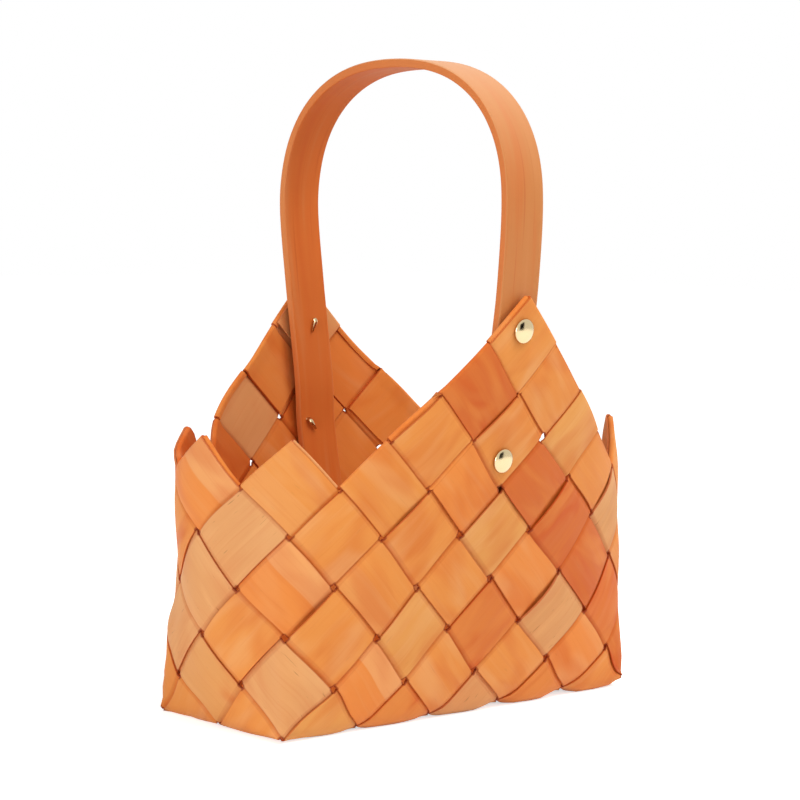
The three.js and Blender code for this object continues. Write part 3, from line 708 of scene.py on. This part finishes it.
    def peak_station(self, row, lath, lean):
        """Middle of the front peak at a row, the way out there, and a leg's place aside and its depth."""
        height = row * self.cell
        point = self.wall_point(FRONT_PEAK_COLUMN, height)
        above = self.wall_point(FRONT_PEAK_COLUMN, height + TANGENT_STEP)
        below = self.wall_point(FRONT_PEAK_COLUMN, height - TANGENT_STEP)
        out = Vector((1, 0, 0)).cross(above - below).normalized()
        corner = self.wall_point(FRONT_PEAK_COLUMN + 0.5, height)
        tip_lean, foot_lean = lean
        aside = tip_lean + (foot_lean - tip_lean) * (PEAK_ROW - row) / lath.foot_drop
        sag = (point - corner).dot(out) * (lath.width + 2 * abs(aside)) / self.cell
        folded = smoothstep(row, *(PEAK_ROW - drop for drop in TAIL_DROPS))
        wall_depth = self.leg_layer * (1.0 + TAIL_HALF_LAYERS * folded) + self.sizes.strip_thickness / 2
        return point, out, aside, wall_depth + sag + LEG_CLEARANCE

    def press_at(self, point):
        """Share of a strip's bow that is left near a tack, which pulls the strips together."""
        nearest = min((point - place).length for place in self.tack_places)
        return smoothstep(nearest, PRESSED_REACH, FREE_REACH)

    def tack_station(self, tack, lath, lean):
        """Place of a tack in the front peak, the way out of the bag and the depth of the leg behind it."""
        row = PEAK_ROW - tack["drop"]
        middle, out, _, leg_depth = self.peak_station(row, lath, lean)
        point = self.wall_point(FRONT_PEAK_COLUMN + tack["aside"] / self.cell, row * self.cell)
        return point, out, leg_depth - (middle - point).dot(out)


def add_node(tree, kind, inputs, **settings):
    """Adds one node with its settings, its socket values and its links."""
    node = tree.nodes.new(kind)
    for key, value in settings.items():
        setattr(node, key, value)
    for socket, value in inputs.items():
        if isinstance(value, bpy.types.NodeSocket):
            tree.links.new(value, node.inputs[socket])
        else:
            node.inputs[socket].default_value = value
    return node


def new_material(name):
    material = bpy.data.materials.new(name)
    material.use_nodes = True
    material.node_tree.nodes.clear()
    return material, material.node_tree


def grain_noise(tree, grain, run, width, detail, swirl=0.0, place=(0.0, 0.0, 0.0)):
    """Noise drawn out along the grain, as long and as wide in metres as the pattern it makes."""
    laid = add_node(tree, "ShaderNodeMapping", {
        "Vector": grain, "Location": place, "Scale": (1 / run, 1 / width, 1.0),
    })
    return add_node(tree, "ShaderNodeTexNoise", {
        "Vector": laid.outputs[0], "Scale": 1.0, "Detail": detail, "Distortion": swirl,
    }).outputs[0]


def tinted(tree, colour, tints):
    """Colour under its tints, each of which comes in over a range of its own value."""
    for value, (low, high), strength, tint in tints:
        share = add_node(
            tree, "ShaderNodeMapRange",
            {"Value": value, "From Min": low, "From Max": high, "To Max": strength},
            interpolation_type="SMOOTHSTEP",
        )
        colour = add_node(
            tree, "ShaderNodeMix", {"Factor": share.outputs[0], 6: colour, 7: tint}, data_type="RGBA",
        ).outputs[2]
    return colour


# Dyed aspen chip: veneer sliced along the grain and soaked in dye, which lies in soft clouds drawn out
# along the fibres and is deepest at the cut edges, where a painted gap shadow is added; painted shade
# darkens a strip where it lies under its neighbour, where it dives under it and in the corners of the weave;
# dull satin face.
def chip_veneer(name, tones, finishes, half_strip):
    material, tree = new_material(name)
    first, last = tones
    split = SPLIT_TONES.get(first)
    figure = {**PLAIN_FIGURE, **TONE_FIGURES.get(first, {})}
    grain, weave_map, dive_map = (
        add_node(tree, "ShaderNodeUVMap", {}, uv_map=uv_map).outputs["UV"]
        for uv_map in ("grain", "weave", "dive")
    )
    across = add_node(tree, "ShaderNodeSeparateXYZ", {"Vector": grain}).outputs["Y"]
    weave = add_node(tree, "ShaderNodeSeparateXYZ", {"Vector": weave_map})
    dive = add_node(tree, "ShaderNodeSeparateXYZ", {"Vector": dive_map}).outputs["X"]
    noises = {}
    for order, (pattern, (run, width, _)) in enumerate(CHIP_PATTERNS.items()):
        place = [shift * order for shift in PATTERN_SHIFT]
        noises[pattern] = grain_noise(tree, grain, run, width, CHIP_DETAIL, figure["swirl"], place)
    from_edge = add_node(tree, "ShaderNodeMath", {0: across}, operation="ABSOLUTE").outputs[0]
    # Mask of painted shade in the corners of the weave: near a cut edge and near where the strip dives under
    diving = add_node(tree, "ShaderNodeMapRange", {"Value": dive, "From Min": NOTCH_DIVE})
    at_edge = add_node(tree, "ShaderNodeMapRange", {
        "Value": from_edge, "From Min": half_strip - NOTCH_EDGE[0], "From Max": half_strip - NOTCH_EDGE[1],
    })
    notch_shade = add_node(
        tree, "ShaderNodeMath", {0: diving.outputs[0], 1: at_edge.outputs[0]}, operation="MULTIPLY",
    ).outputs[0]
    tints = []
    if last != first:
        tints.append((weave.outputs["X"], FADES[first], 1.0, getattr(finishes, last)))
    if split:
        ragged = add_node(
            tree, "ShaderNodeMath", {0: noises["streak"], 1: SPLIT_RAGGED, 2: across},
            operation="MULTIPLY_ADD",
        ).outputs[0]
        middle = split["place"] + SPLIT_RAGGED / 2
        softness = split["edge"] * SPLIT_SOFTNESS
        tints.append((ragged, (middle - softness, middle + softness), split["strength"], finishes.pale_wood))
    pale = getattr(finishes, figure["pale"])
    dyes = {"pool": finishes.deep_dye, "fibre": finishes.deep_dye, "fleck": finishes.fleck}
    for pattern, (_, _, shows) in CHIP_PATTERNS.items():
        tints.append((noises[pattern], shows, figure[pattern], dyes.get(pattern, pale)))
    # Painted shade where the strip lies under or dives under another and in the corners of the weave, and
    # real dye with a painted gap shadow along the cut edges
    tints += [
        (weave.outputs["Y"], (0.0, 1.0), figure["tuck_shade"], finishes.tuck_shade_colour),
        (dive, DIVE_RANGE, DIVE_SHADE, finishes.edge_dye_and_shade),
        (from_edge, (half_strip - EDGE_SOAK, half_strip), EDGE_DYE_AND_SHADE, finishes.edge_dye_and_shade),
        (notch_shade, NOTCH_RANGE, NOTCH_SHADE, finishes.notch_shade),
    ]
    roughness = add_node(tree, "ShaderNodeMapRange", {"Value": noises["streak"], **CHIP_ROUGHNESS})
    bump = add_node(tree, "ShaderNodeBump", {**CHIP_RELIEF, "Height": noises["fibre"]})
    shader = add_node(tree, "ShaderNodeBsdfPrincipled", {
        "Base Color": tinted(tree, getattr(finishes, split["colour"] if split else first), tints),
        "Roughness": roughness.outputs[0],
        "IOR": WOOD_IOR,
        "Specular IOR Level": CHIP_GLOSS,
        "Normal": bump.outputs[0],
    })
    add_node(tree, "ShaderNodeOutputMaterial", {"Surface": shader.outputs[0]})
    return material


def chip_material(tones, finishes, half_strip):
    name = "dyed_chip_veneer_" + "_to_".join(dict.fromkeys(tones))
    return bpy.data.materials.get(name) or chip_veneer(name, tones, finishes, half_strip)


# Steam-bent beech lath, dyed and left unvarnished: even colour with soft broad bands along the grain,
# thin dark pore lines, paler sawn edges, a painted sheen on the outside over the top of the arch and a dull
# face.
def bent_lath_wood(face, face_colour, bend, finishes, half_width):
    material, tree = new_material("dyed_bent_lath_" + face)
    grain = add_node(tree, "ShaderNodeUVMap", {}, uv_map="grain").outputs["UV"]
    parts = add_node(tree, "ShaderNodeSeparateXYZ", {"Vector": grain})
    from_edge = add_node(tree, "ShaderNodeMath", {0: parts.outputs["Y"]}, operation="ABSOLUTE").outputs[0]
    band, pore = (grain_noise(tree, grain, *size, LATH_DETAIL) for size in LATH_PATTERNS.values())
    (edge_start, edge_end), edge_strength = PALE_EDGES
    tints = [
        (band, *DARK_BANDS, finishes.deep_dye),
        (band, *PALE_BANDS, finishes.handle_edge),
        (pore, *DARK_PORES, finishes.edge_dye_and_shade),
        (from_edge, (half_width - edge_start, half_width - edge_end), edge_strength, finishes.handle_edge),
    ]
    # Painted sheen on the outside over the arch top
    if face == "outside":
        past_sheen_place = add_node(tree, "ShaderNodeMath", {0: parts.outputs["X"], 1: bend}, operation="SUBTRACT")
        from_sheen_place = add_node(tree, "ShaderNodeMath", {0: past_sheen_place.outputs[0]}, operation="ABSOLUTE")
        tints.append((from_sheen_place.outputs[0], (SHEEN_REACH, 0.0), SHEEN_STRENGTH, finishes.arch_top_sheen))
    bump = add_node(tree, "ShaderNodeBump", {**LATH_RELIEF, "Height": pore})
    shader = add_node(tree, "ShaderNodeBsdfPrincipled", {
        "Base Color": tinted(tree, face_colour, tints),
        "Roughness": LATH_ROUGHNESS[face],
        "IOR": WOOD_IOR,
        "Specular IOR Level": LATH_GLOSS,
        "Normal": bump.outputs[0],
    })
    add_node(tree, "ShaderNodeOutputMaterial", {"Surface": shader.outputs[0]})
    return material


# Stamped brass-plated tack head: bright, slightly uneven from the press, with a faint haze of handling.
def stamped_brass(finishes):
    material, tree = new_material("stamped_brass")
    place = add_node(tree, "ShaderNodeTexCoord", {}).outputs["Object"]
    haze = add_node(
        tree, "ShaderNodeTexNoise", {"Vector": place, "Scale": 1 / HAZE_SIZE, "Detail": HAZE_DETAIL},
    ).outputs[0]
    roughness = add_node(tree, "ShaderNodeMapRange", {"Value": haze, **BRASS_ROUGHNESS})
    bump = add_node(tree, "ShaderNodeBump", {**BRASS_RELIEF, "Height": haze})
    shader = add_node(tree, "ShaderNodeBsdfPrincipled", {
        "Base Color": finishes.brass,
        "Metallic": 1.0,
        "Roughness": roughness.outputs[0],
        "Normal": bump.outputs[0],
    })
    add_node(tree, "ShaderNodeOutputMaterial", {"Surface": shader.outputs[0]})
    return material


def new_object(builder, name, material):
    """Object of a finished bmesh, which it uses up."""
    mesh = bpy.data.meshes.new(name)
    builder.to_mesh(mesh)
    builder.free()
    mesh.materials.append(material)
    made = bpy.data.objects.new(name, mesh)
    bpy.context.scene.collection.objects.link(made)
    return made


def finish_piece(builder, name, material, slot, *nodes):
    """Makes the object of a finished bmesh, standing for the given CAD nodes."""
    piece = new_object(builder, name, material)
    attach(piece, "root")
    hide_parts(*nodes)
    return piece


def add_thickness(piece, thickness, edge, segments):
    solidify = piece.modifiers.new("thickness", "SOLIDIFY")
    solidify.thickness = thickness
    solidify.offset = 0.0
    bevel = piece.modifiers.new("soft edges", "BEVEL")
    bevel.width = edge
    bevel.segments = segments
    bevel.limit_method = "ANGLE"
    bevel.angle_limit = SHARP_ANGLE
    bevel.harden_normals = False


def band_builder(stations, segments, uv_names):
    """Unit grid with one row of vertices for each station, its sharp border and its empty UV maps."""
    builder = bmesh.new()
    bmesh.ops.create_grid(builder, x_segments=len(stations) - 1, y_segments=segments, size=0.5)
    for face in builder.faces:
        face.smooth = True
    for edge in builder.edges:
        if edge.is_boundary:
            edge.smooth = False
    return builder, [builder.loops.layers.uv.new(name) for name in uv_names]


def station_of(vert, stations):
    """Number of the station that a vertex of the unit grid stands at."""
    return round((vert.co.x + 0.5) * (len(stations) - 1))


def build_strip(plait, way, name, order, material, slot):
    """Builds one strip along its way, with the maps that its grain and its dye follow."""
    stations = plait.section(way)
    lengths = running_lengths([Vector(station[:2]) for station in stations])
    builder, (grain, weave, dive) = band_builder(stations, ACROSS_SEGMENTS, ("grain", "weave", "dive"))
    ends = (way.first_cell, way.last_cell)
    for face in builder.faces:
        for loop in face.loops:
            index = station_of(loop.vert, stations)
            across = loop.vert.co.y * 2 * plait.half_strip
            _, depth, _, cell, lift_share = stations[index]
            # Painted shade: full where the strip lies under its neighbour, so on its faces seen inside the
            # bag, and rising towards the ends of each crossing
            tucked = 0.5 - 0.5 * depth / plait.layer + CROWN_SHADE * (1.0 - lift_share)
            loop[grain].uv = (lengths[index] + order * GRAIN_STRIDE, across)
            loop[weave].uv = (lengths[index] / lengths[-1], min(max(tucked, 0.0), 1.0))
            # Closeness to where the strip dives under its neighbour, which places painted shade there and in
            # the corners of the weave
            loop[dive].uv = (0.0 if cell in ends else 1.0 - lift_share, 0.0)
    for vert in builder.verts:
        along, depth, bow, cell, lift_share = stations[station_of(vert, stations)]
        share = vert.co.y * 2
        stray = Vector((along / WANDER_RUN, order * WANDER_STRIDE, 0.0))
        wobble = Vector((along / WOBBLE_RUN, order * WOBBLE_STRIDE, WOBBLE_LEVEL))
        spread = END_SPREAD if cell in ends else WIDTH_WOBBLE * noise.noise(wobble)
        across = share * plait.half_strip * (1.0 + spread) + plait.sizes.wander * noise.noise(stray)
        lift, lifted_side = plait.lift_at(way, cell, order)
        rise = bow * (1.0 - share * share) + lift * lift_share * max(share * lifted_side, 0.0) ** 2
        point = plait.way_point(way, along, across)
        normal = plait.way_normal(way, along, across)
        vert.co = point + normal * (depth + rise * plait.press_at(point))
        vert.co.z = max(vert.co.z, plait.sizes.strip_thickness / 2)
    bmesh.ops.reverse_faces(builder, faces=builder.faces[:])
    piece = finish_piece(builder, "veneer_" + name, material, slot, name)
    add_thickness(piece, plait.sizes.strip_thickness, STRIP_EDGE, 1)


def plait_set(scene, plait, letter, set_tones, way_of, first_order):
    """Builds all the strips of one set, each with its own tones."""
    for number, tones in enumerate(set_tones, 1):
        material = chip_material(tones, scene.woven_bag_finishes, plait.half_strip)
        slot = TONE_SLOTS.get(tones[0], PLAIN_SLOT)
        name = f"strip_{letter}_{number}"
        build_strip(plait, way_of(number), name, first_order + number, material, slot)


def smooth_way(points, steps):
    """Evenly rounded line through points, by centripetal Catmull-Rom spans."""
    padded = [2 * points[0] - points[1], *points, 2 * points[-1] - points[-2]]
    line = []
    for four in zip(padded, padded[1:], padded[2:], padded[3:]):
        knots = [0.0]
        for low, high in zip(four, four[1:]):
            knots.append(knots[-1] + math.sqrt((high - low).length))
        for step in range(steps):
            place = knots[1] + (knots[2] - knots[1]) * step / steps
            level = four
            for reach in (1, 2):
                shares = [
                    (place - start) / (end - start) for start, end in zip(knots, knots[reach:])
                ]
                level = [low.lerp(high, share) for low, high, share in zip(level, level[1:], shares)]
            line.append(level[0].lerp(level[1], step / steps))
    line.append(points[-1])
    return line


def leg_line(plait, sizes, lean):
    """Middle line of a leg from its foot to the tip of the front peak."""
    points = []
    for step in range(LEG_STEPS + 1):
        row = PEAK_ROW - sizes.foot_drop * (1.0 - step / LEG_STEPS)
        point, out, aside, leg_depth = plait.peak_station(row, sizes, lean)
        points.append(point + Vector((aside, 0.0, 0.0)) - out * (leg_depth + sizes.thickness / 2))
    return points


def handle_line(plait, sizes):
    """Middle line of the handle: up inside the front peak, over, and down inside the back peak."""
    front_leg = leg_line(plait, sizes, LEANS["front"])
    half_turn = Vector((-1, -1, 1))
    back_leg = [point * half_turn for point in reversed(leg_line(plait, sizes, LEANS["back"]))]
    front_tip, back_tip = front_leg[-1], back_leg[0]
    spring_level = front_tip.z + sizes.rise - sizes.arch_height
    arch = []
    for step in range(ARCH_STEPS + 1):
        angle = math.pi * step / ARCH_STEPS
        in_front = step < ARCH_STEPS / 2
        reach = front_tip.y - sizes.front_bulge if in_front else back_tip.y + sizes.back_bulge
        run = abs(math.cos(angle)) ** (2 / sizes.arch_power)
        rise = max(math.sin(angle), 0.0) ** (2 / sizes.arch_power)
        aside = front_tip.x + (back_tip.x - front_tip.x) * step / ARCH_STEPS
        arch.append(Vector((aside, reach * run, spring_level + sizes.arch_height * rise)))
    return smooth_way([*front_leg, *arch, *back_leg], ROUNDING_STEPS)


class WOVENBAG_OT_first_strips(bpy.types.Operator):
    """Plait the strips that run towards the back left"""

    bl_idname = "woven_bag.first_strips"
    bl_label = "First strips"

    def execute(self, context):
        plait = Plait(context.scene.woven_bag_plait)
        plait_set(context.scene, plait, "a", FIRST_SET_TONES, plait.first_way, 0)
        return {"FINISHED"}


class WOVENBAG_OT_second_strips(bpy.types.Operator):
    """Plait the strips that run towards the back right"""

    bl_idname = "woven_bag.second_strips"
    bl_label = "Second strips"

    def execute(self, context):
        plait = Plait(context.scene.woven_bag_plait)
        plait_set(context.scene, plait, "b", SECOND_SET_TONES, plait.second_way, STRIPS_PER_SET)
        return {"FINISHED"}


class WOVENBAG_OT_handle(bpy.types.Operator):
    """Bend the lath of the handle"""

    bl_idname = "woven_bag.handle"
    bl_label = "Handle"

    def execute(self, context):
        scene = context.scene
        sizes = scene.woven_bag_handle
        line = handle_line(Plait(scene.woven_bag_plait), sizes)
        lengths = running_lengths(line)
        builder, (grain,) = band_builder(line, LATH_SEGMENTS, ("grain",))
        for face in builder.faces:
            for loop in face.loops:
                loop[grain].uv = (lengths[station_of(loop.vert, line)], loop.vert.co.y * sizes.width)
        for vert in builder.verts:
            index = station_of(vert, line)
            narrowed = smoothstep(lengths[index] / lengths[-1], *NARROWING)
            breadth = sizes.front_width + (sizes.width - sizes.front_width) * narrowed
            vert.co = line[index] + Vector((vert.co.y * breadth, 0.0, 0.0))
        finishes = scene.woven_bag_finishes
        face_colours = {"inside": finishes.handle_inside, "outside": finishes.handle_outside}
        # Place along the lath where the painted sheen is brightest
        bend = SHEEN_PLACE * lengths[-1]
        inside, outside = (
            bent_lath_wood(face, colour, bend, finishes, sizes.width / 2)
            for face, colour in face_colours.items()
        )
        piece = finish_piece(builder, "bent_lath_handle", inside, "handle_wood", "bent_handle")
        piece.data.materials.append(outside)
        add_thickness(piece, sizes.thickness, sizes.edge, LATH_EDGE_SEGMENTS)
        piece.modifiers["thickness"].material_offset = 1
        return {"FINISHED"}


class WOVENBAG_OT_tacks(bpy.types.Operator):
    """Drive the four brass tacks through the peaks and the legs"""

    bl_idname = "woven_bag.tacks"
    bl_label = "Tacks"

    def execute(self, context):
        scene = context.scene
        sizes = scene.woven_bag_tacks
        plait = Plait(scene.woven_bag_plait)
        lath = scene.woven_bag_handle
        material = stamped_brass(scene.woven_bag_finishes)
        seat = plait.layer + plait.sizes.strip_thickness / 2 + sizes.seat_gap
        for side, turn in (("front", 0.0), ("back", math.pi)):
            for level, tack in TACKS[side].items():
                point, out, leg_depth = plait.tack_station(tack, lath, LEANS[side])
                builder = tack_builder(sizes, seat, leg_depth + lath.thickness)
                right = Vector((1, 0, 0))
                stance = Matrix((-right, right.cross(out), out)).transposed().to_4x4()
                stance.translation = point
                placed = Matrix.Rotation(turn, 4, "Z") @ stance @ Matrix.Rotation(tack["swing"], 4, "Z")
                bmesh.ops.transform(builder, matrix=placed, verts=builder.verts[:])
                node = f"tack_{side}_{level}"
                finish_piece(builder, "brass_" + node, material, "tack_brass", node)
        return {"FINISHED"}


def tack_builder(sizes, seat, inner_face):
    """Tack along its own +Z: domed head, shank, and a tip bent over towards +Y."""
    builder = bmesh.new()
    radius = sizes.head_diameter / 2
    dome = sizes.head_height - sizes.head_edge
    profile = [Vector((0.0, 0.0, seat + sizes.head_height))]
    for degrees in DOME_DEGREES:
        angle = math.radians(degrees)
        level = seat + sizes.head_edge + dome * math.sin(angle)
        profile.append(Vector((radius * math.cos(angle), 0.0, level)))
    profile.append(Vector((radius - sizes.head_edge / 2, 0.0, seat)))
    profile.append(Vector((0.0, 0.0, seat)))
    verts = [builder.verts.new(point) for point in profile]
    edges = [builder.edges.new(pair) for pair in zip(verts, verts[1:])]
    bmesh.ops.spin(
        builder, geom=[*verts, *edges], cent=(0, 0, 0), axis=(0, 0, 1), angle=2 * math.pi,
        steps=TACK_STEPS, use_merge=True,
    )
    bmesh.ops.remove_doubles(builder, verts=builder.verts[:], dist=MERGE_REACH)
    shank = sizes.shank_diameter / 2
    bend = shank + sizes.seat_gap
    stances = [(Vector((0, 0, seat)), 0.0, 1.0)]
    for degrees in CLINCH_DEGREES:
        angle = math.radians(degrees)
        place = Vector((0, bend * (1 - math.cos(angle)), -inner_face - bend * math.sin(angle)))
        stances.append((place, angle, 1.0))
    tip_level = -inner_face - sizes.seat_gap - sizes.tip_diameter / 2
    taper = sizes.tip_diameter / sizes.shank_diameter
    stances.append((Vector((0, bend + sizes.clinch, tip_level)), math.pi / 2, taper))
    frames = [
        Matrix.Translation(place) @ Matrix.Rotation(angle, 4, "X") @ Matrix.Scale(scale, 4)
        for place, angle, scale in stances
    ]
    ring = bmesh.ops.create_circle(
        builder, cap_ends=True, segments=SHANK_STEPS, radius=shank, matrix=frames[0],
    )["verts"]
    cap = ring[0].link_faces[0]
    for before, after in zip(frames, frames[1:]):
        grown = bmesh.ops.extrude_face_region(builder, geom=[cap])["geom"]
        cap = next(item for item in grown if isinstance(item, bmesh.types.BMFace))
        bmesh.ops.transform(builder, matrix=after @ before.inverted(), verts=cap.verts[:])
    bmesh.ops.recalc_face_normals(builder, faces=builder.faces[:])
    for face in builder.faces:
        face.smooth = True
    return builder


class WOVENBAG_OT_stage(bpy.types.Operator):
    """Set the pale floor, the soft lights and the camera"""

    bl_idname = "woven_bag.stage"
    bl_label = "Stage"

    def execute(self, context):
        scene = context.scene
        scene.view_settings.view_transform = "Standard"
        finishes = scene.woven_bag_finishes
        floor_shape = Matrix.Diagonal((FLOOR_SIZE, FLOOR_SIZE, 1.0, 1.0))
        stage_sheet("studio_floor", floor_shape, matt_paper(finishes))
        build_light(scene)
        build_card(finishes)
        build_camera(scene)
        return {"FINISHED"}


def background_rays(tree):
    """1 for the rays that show the background itself, 0 for the rays that light the bag."""
    rays = add_node(tree, "ShaderNodeLightPath", {})
    mirrored = add_node(
        tree, "ShaderNodeMath", {0: rays.outputs["Is Camera Ray"], 1: rays.outputs["Is Glossy Ray"]},
        operation="MAXIMUM",
    )
    seen = add_node(
        tree, "ShaderNodeMath", {0: mirrored.outputs[0], 1: rays.outputs["Is Transmission Ray"]},
        operation="MAXIMUM",
    )
    return seen.outputs[0]


def stage_sheet(name, place, material):
    """Flat sheet of the stage, a unit square before it is put in its place."""
    builder = bmesh.new()
    bmesh.ops.create_grid(builder, x_segments=1, y_segments=1, size=0.5, matrix=place)
    sheet = new_object(builder, name, material)
    return sheet


# Matt paper sweep: even white with no gloss, which shines for the rays that show the background itself.
def matt_paper(finishes):
    material, tree = new_material("matt_paper_floor")
    strength = add_node(tree, "ShaderNodeMapRange", {"Value": background_rays(tree), "To Max": FLOOR_GLOW})
    shader = add_node(tree, "ShaderNodeBsdfPrincipled", {
        "Base Color": finishes.floor,
        "Roughness": FLOOR_ROUGHNESS,
        "Specular IOR Level": 0.0,
        "Emission Color": finishes.floor,
        "Emission Strength": strength.outputs[0],
    })
    add_node(tree, "ShaderNodeOutputMaterial", {"Surface": shader.outputs[0]})
    return material


def build_light(scene):
    world = bpy.data.worlds.new("studio_white")
    world.use_nodes = True
    scene.world = world
    tree = world.node_tree
    tree.nodes.clear()
    strength = add_node(
        tree, "ShaderNodeMapRange", {"Value": background_rays(tree), "To Min": WORLD_LIGHT, "To Max": 1.0},
    )
    background = add_node(
        tree, "ShaderNodeBackground", {"Color": linear("#ffffff"), "Strength": strength.outputs[0]},
    )
    add_node(tree, "ShaderNodeOutputWorld", {"Surface": background.outputs[0]})
    for name, (place, power) in LAMPS.items():
        lamp = bpy.data.lights.new(name, "AREA")
        lamp.shape = "SQUARE"
        lamp.size = LAMP_SIZE
        lamp.energy = power
        light = bpy.data.objects.new(name, lamp)
        light.location = place
        light.visible_glossy = name == MIRRORED_LAMP
        light.rotation_euler = (LAMP_AIM - place).to_track_quat("-Z", "Y").to_euler()
        scene.collection.objects.link(light)


# Black card: dull and even, in front of the bag, where only the bright brass mirrors it.
def build_card(finishes):
    material, tree = new_material("black_card")
    shader = add_node(tree, "ShaderNodeEmission", {"Color": finishes.card, "Strength": 1.0})
    add_node(tree, "ShaderNodeOutputMaterial", {"Surface": shader.outputs[0]})
    turn = (-CARD_PLACE).to_track_quat("-Z", "Y").to_matrix().to_4x4()
    shape = Matrix.Diagonal((CARD_WIDTH, CARD_HEIGHT, 1.0, 1.0))
    card = stage_sheet("black_card", Matrix.Translation(CARD_PLACE) @ turn @ shape, material)
    card.visible_camera = False
    card.visible_diffuse = False
    card.visible_shadow = False
    card.visible_transmission = False


def build_camera(scene):
    lens = bpy.data.cameras.new("photo_camera")
    lens.sensor_width = SENSOR_WIDTH
    lens.lens = CAMERA_FOCUS / IMAGE_SIZE * lens.sensor_width
    camera = bpy.data.objects.new("photo_camera", lens)
    back = Vector((
        math.sin(CAMERA_AZIMUTH) * math.cos(CAMERA_ELEVATION),
        -math.cos(CAMERA_AZIMUTH) * math.cos(CAMERA_ELEVATION),
        math.sin(CAMERA_ELEVATION),
    ))
    level = (-back).to_track_quat("-Z", "Y").to_matrix().to_4x4()
    camera.matrix_world = Matrix.Translation(CAMERA_PLACE) @ level @ Matrix.Rotation(CAMERA_ROLL, 4, "Z")
    scene.collection.objects.link(camera)
    scene.camera = camera


class WOVENBAG_PT_panel(bpy.types.Panel):
    """Sizes, finishes and build steps of the bag"""

    bl_idname = "WOVENBAG_PT_panel"
    bl_label = "Woven Bag"
    bl_space_type = "VIEW_3D"
    bl_region_type = "UI"
    bl_category = "Woven Bag"

    def draw(self, context):
        scene = context.scene
        for group in (
            scene.woven_bag_plait, scene.woven_bag_handle, scene.woven_bag_tacks, scene.woven_bag_finishes,
        ):
            box = self.layout.box()
            for key in group.__annotations__:
                box.prop(group, key)
        for operator in OPERATORS:
            self.layout.operator(operator.bl_idname)


GROUPS = {
    "woven_bag_plait": PlaitSizes,
    "woven_bag_handle": HandleSizes,
    "woven_bag_tacks": TackSizes,
    "woven_bag_finishes": Finishes,
}
OPERATORS = (
    WOVENBAG_OT_first_strips,
    WOVENBAG_OT_second_strips,
    WOVENBAG_OT_handle,
    WOVENBAG_OT_tacks,
    WOVENBAG_OT_stage,
)


def register():
    for group in GROUPS.values():
        bpy.utils.register_class(group)
    for key, group in GROUPS.items():
        setattr(bpy.types.Scene, key, PointerProperty(type=group))
    for operator in OPERATORS:
        bpy.utils.register_class(operator)
    bpy.utils.register_class(WOVENBAG_PT_panel)


def unregister():
    bpy.utils.unregister_class(WOVENBAG_PT_panel)
    for operator in reversed(OPERATORS):
        bpy.utils.unregister_class(operator)
    for key, group in GROUPS.items():
        delattr(bpy.types.Scene, key)
        bpy.utils.unregister_class(group)


def main():
    register()
    bpy.ops.woven_bag.first_strips()
    bpy.ops.woven_bag.second_strips()
    bpy.ops.woven_bag.handle()
    bpy.ops.woven_bag.tacks()
    bpy.ops.woven_bag.stage()


if __name__ == "__main__":
    main()
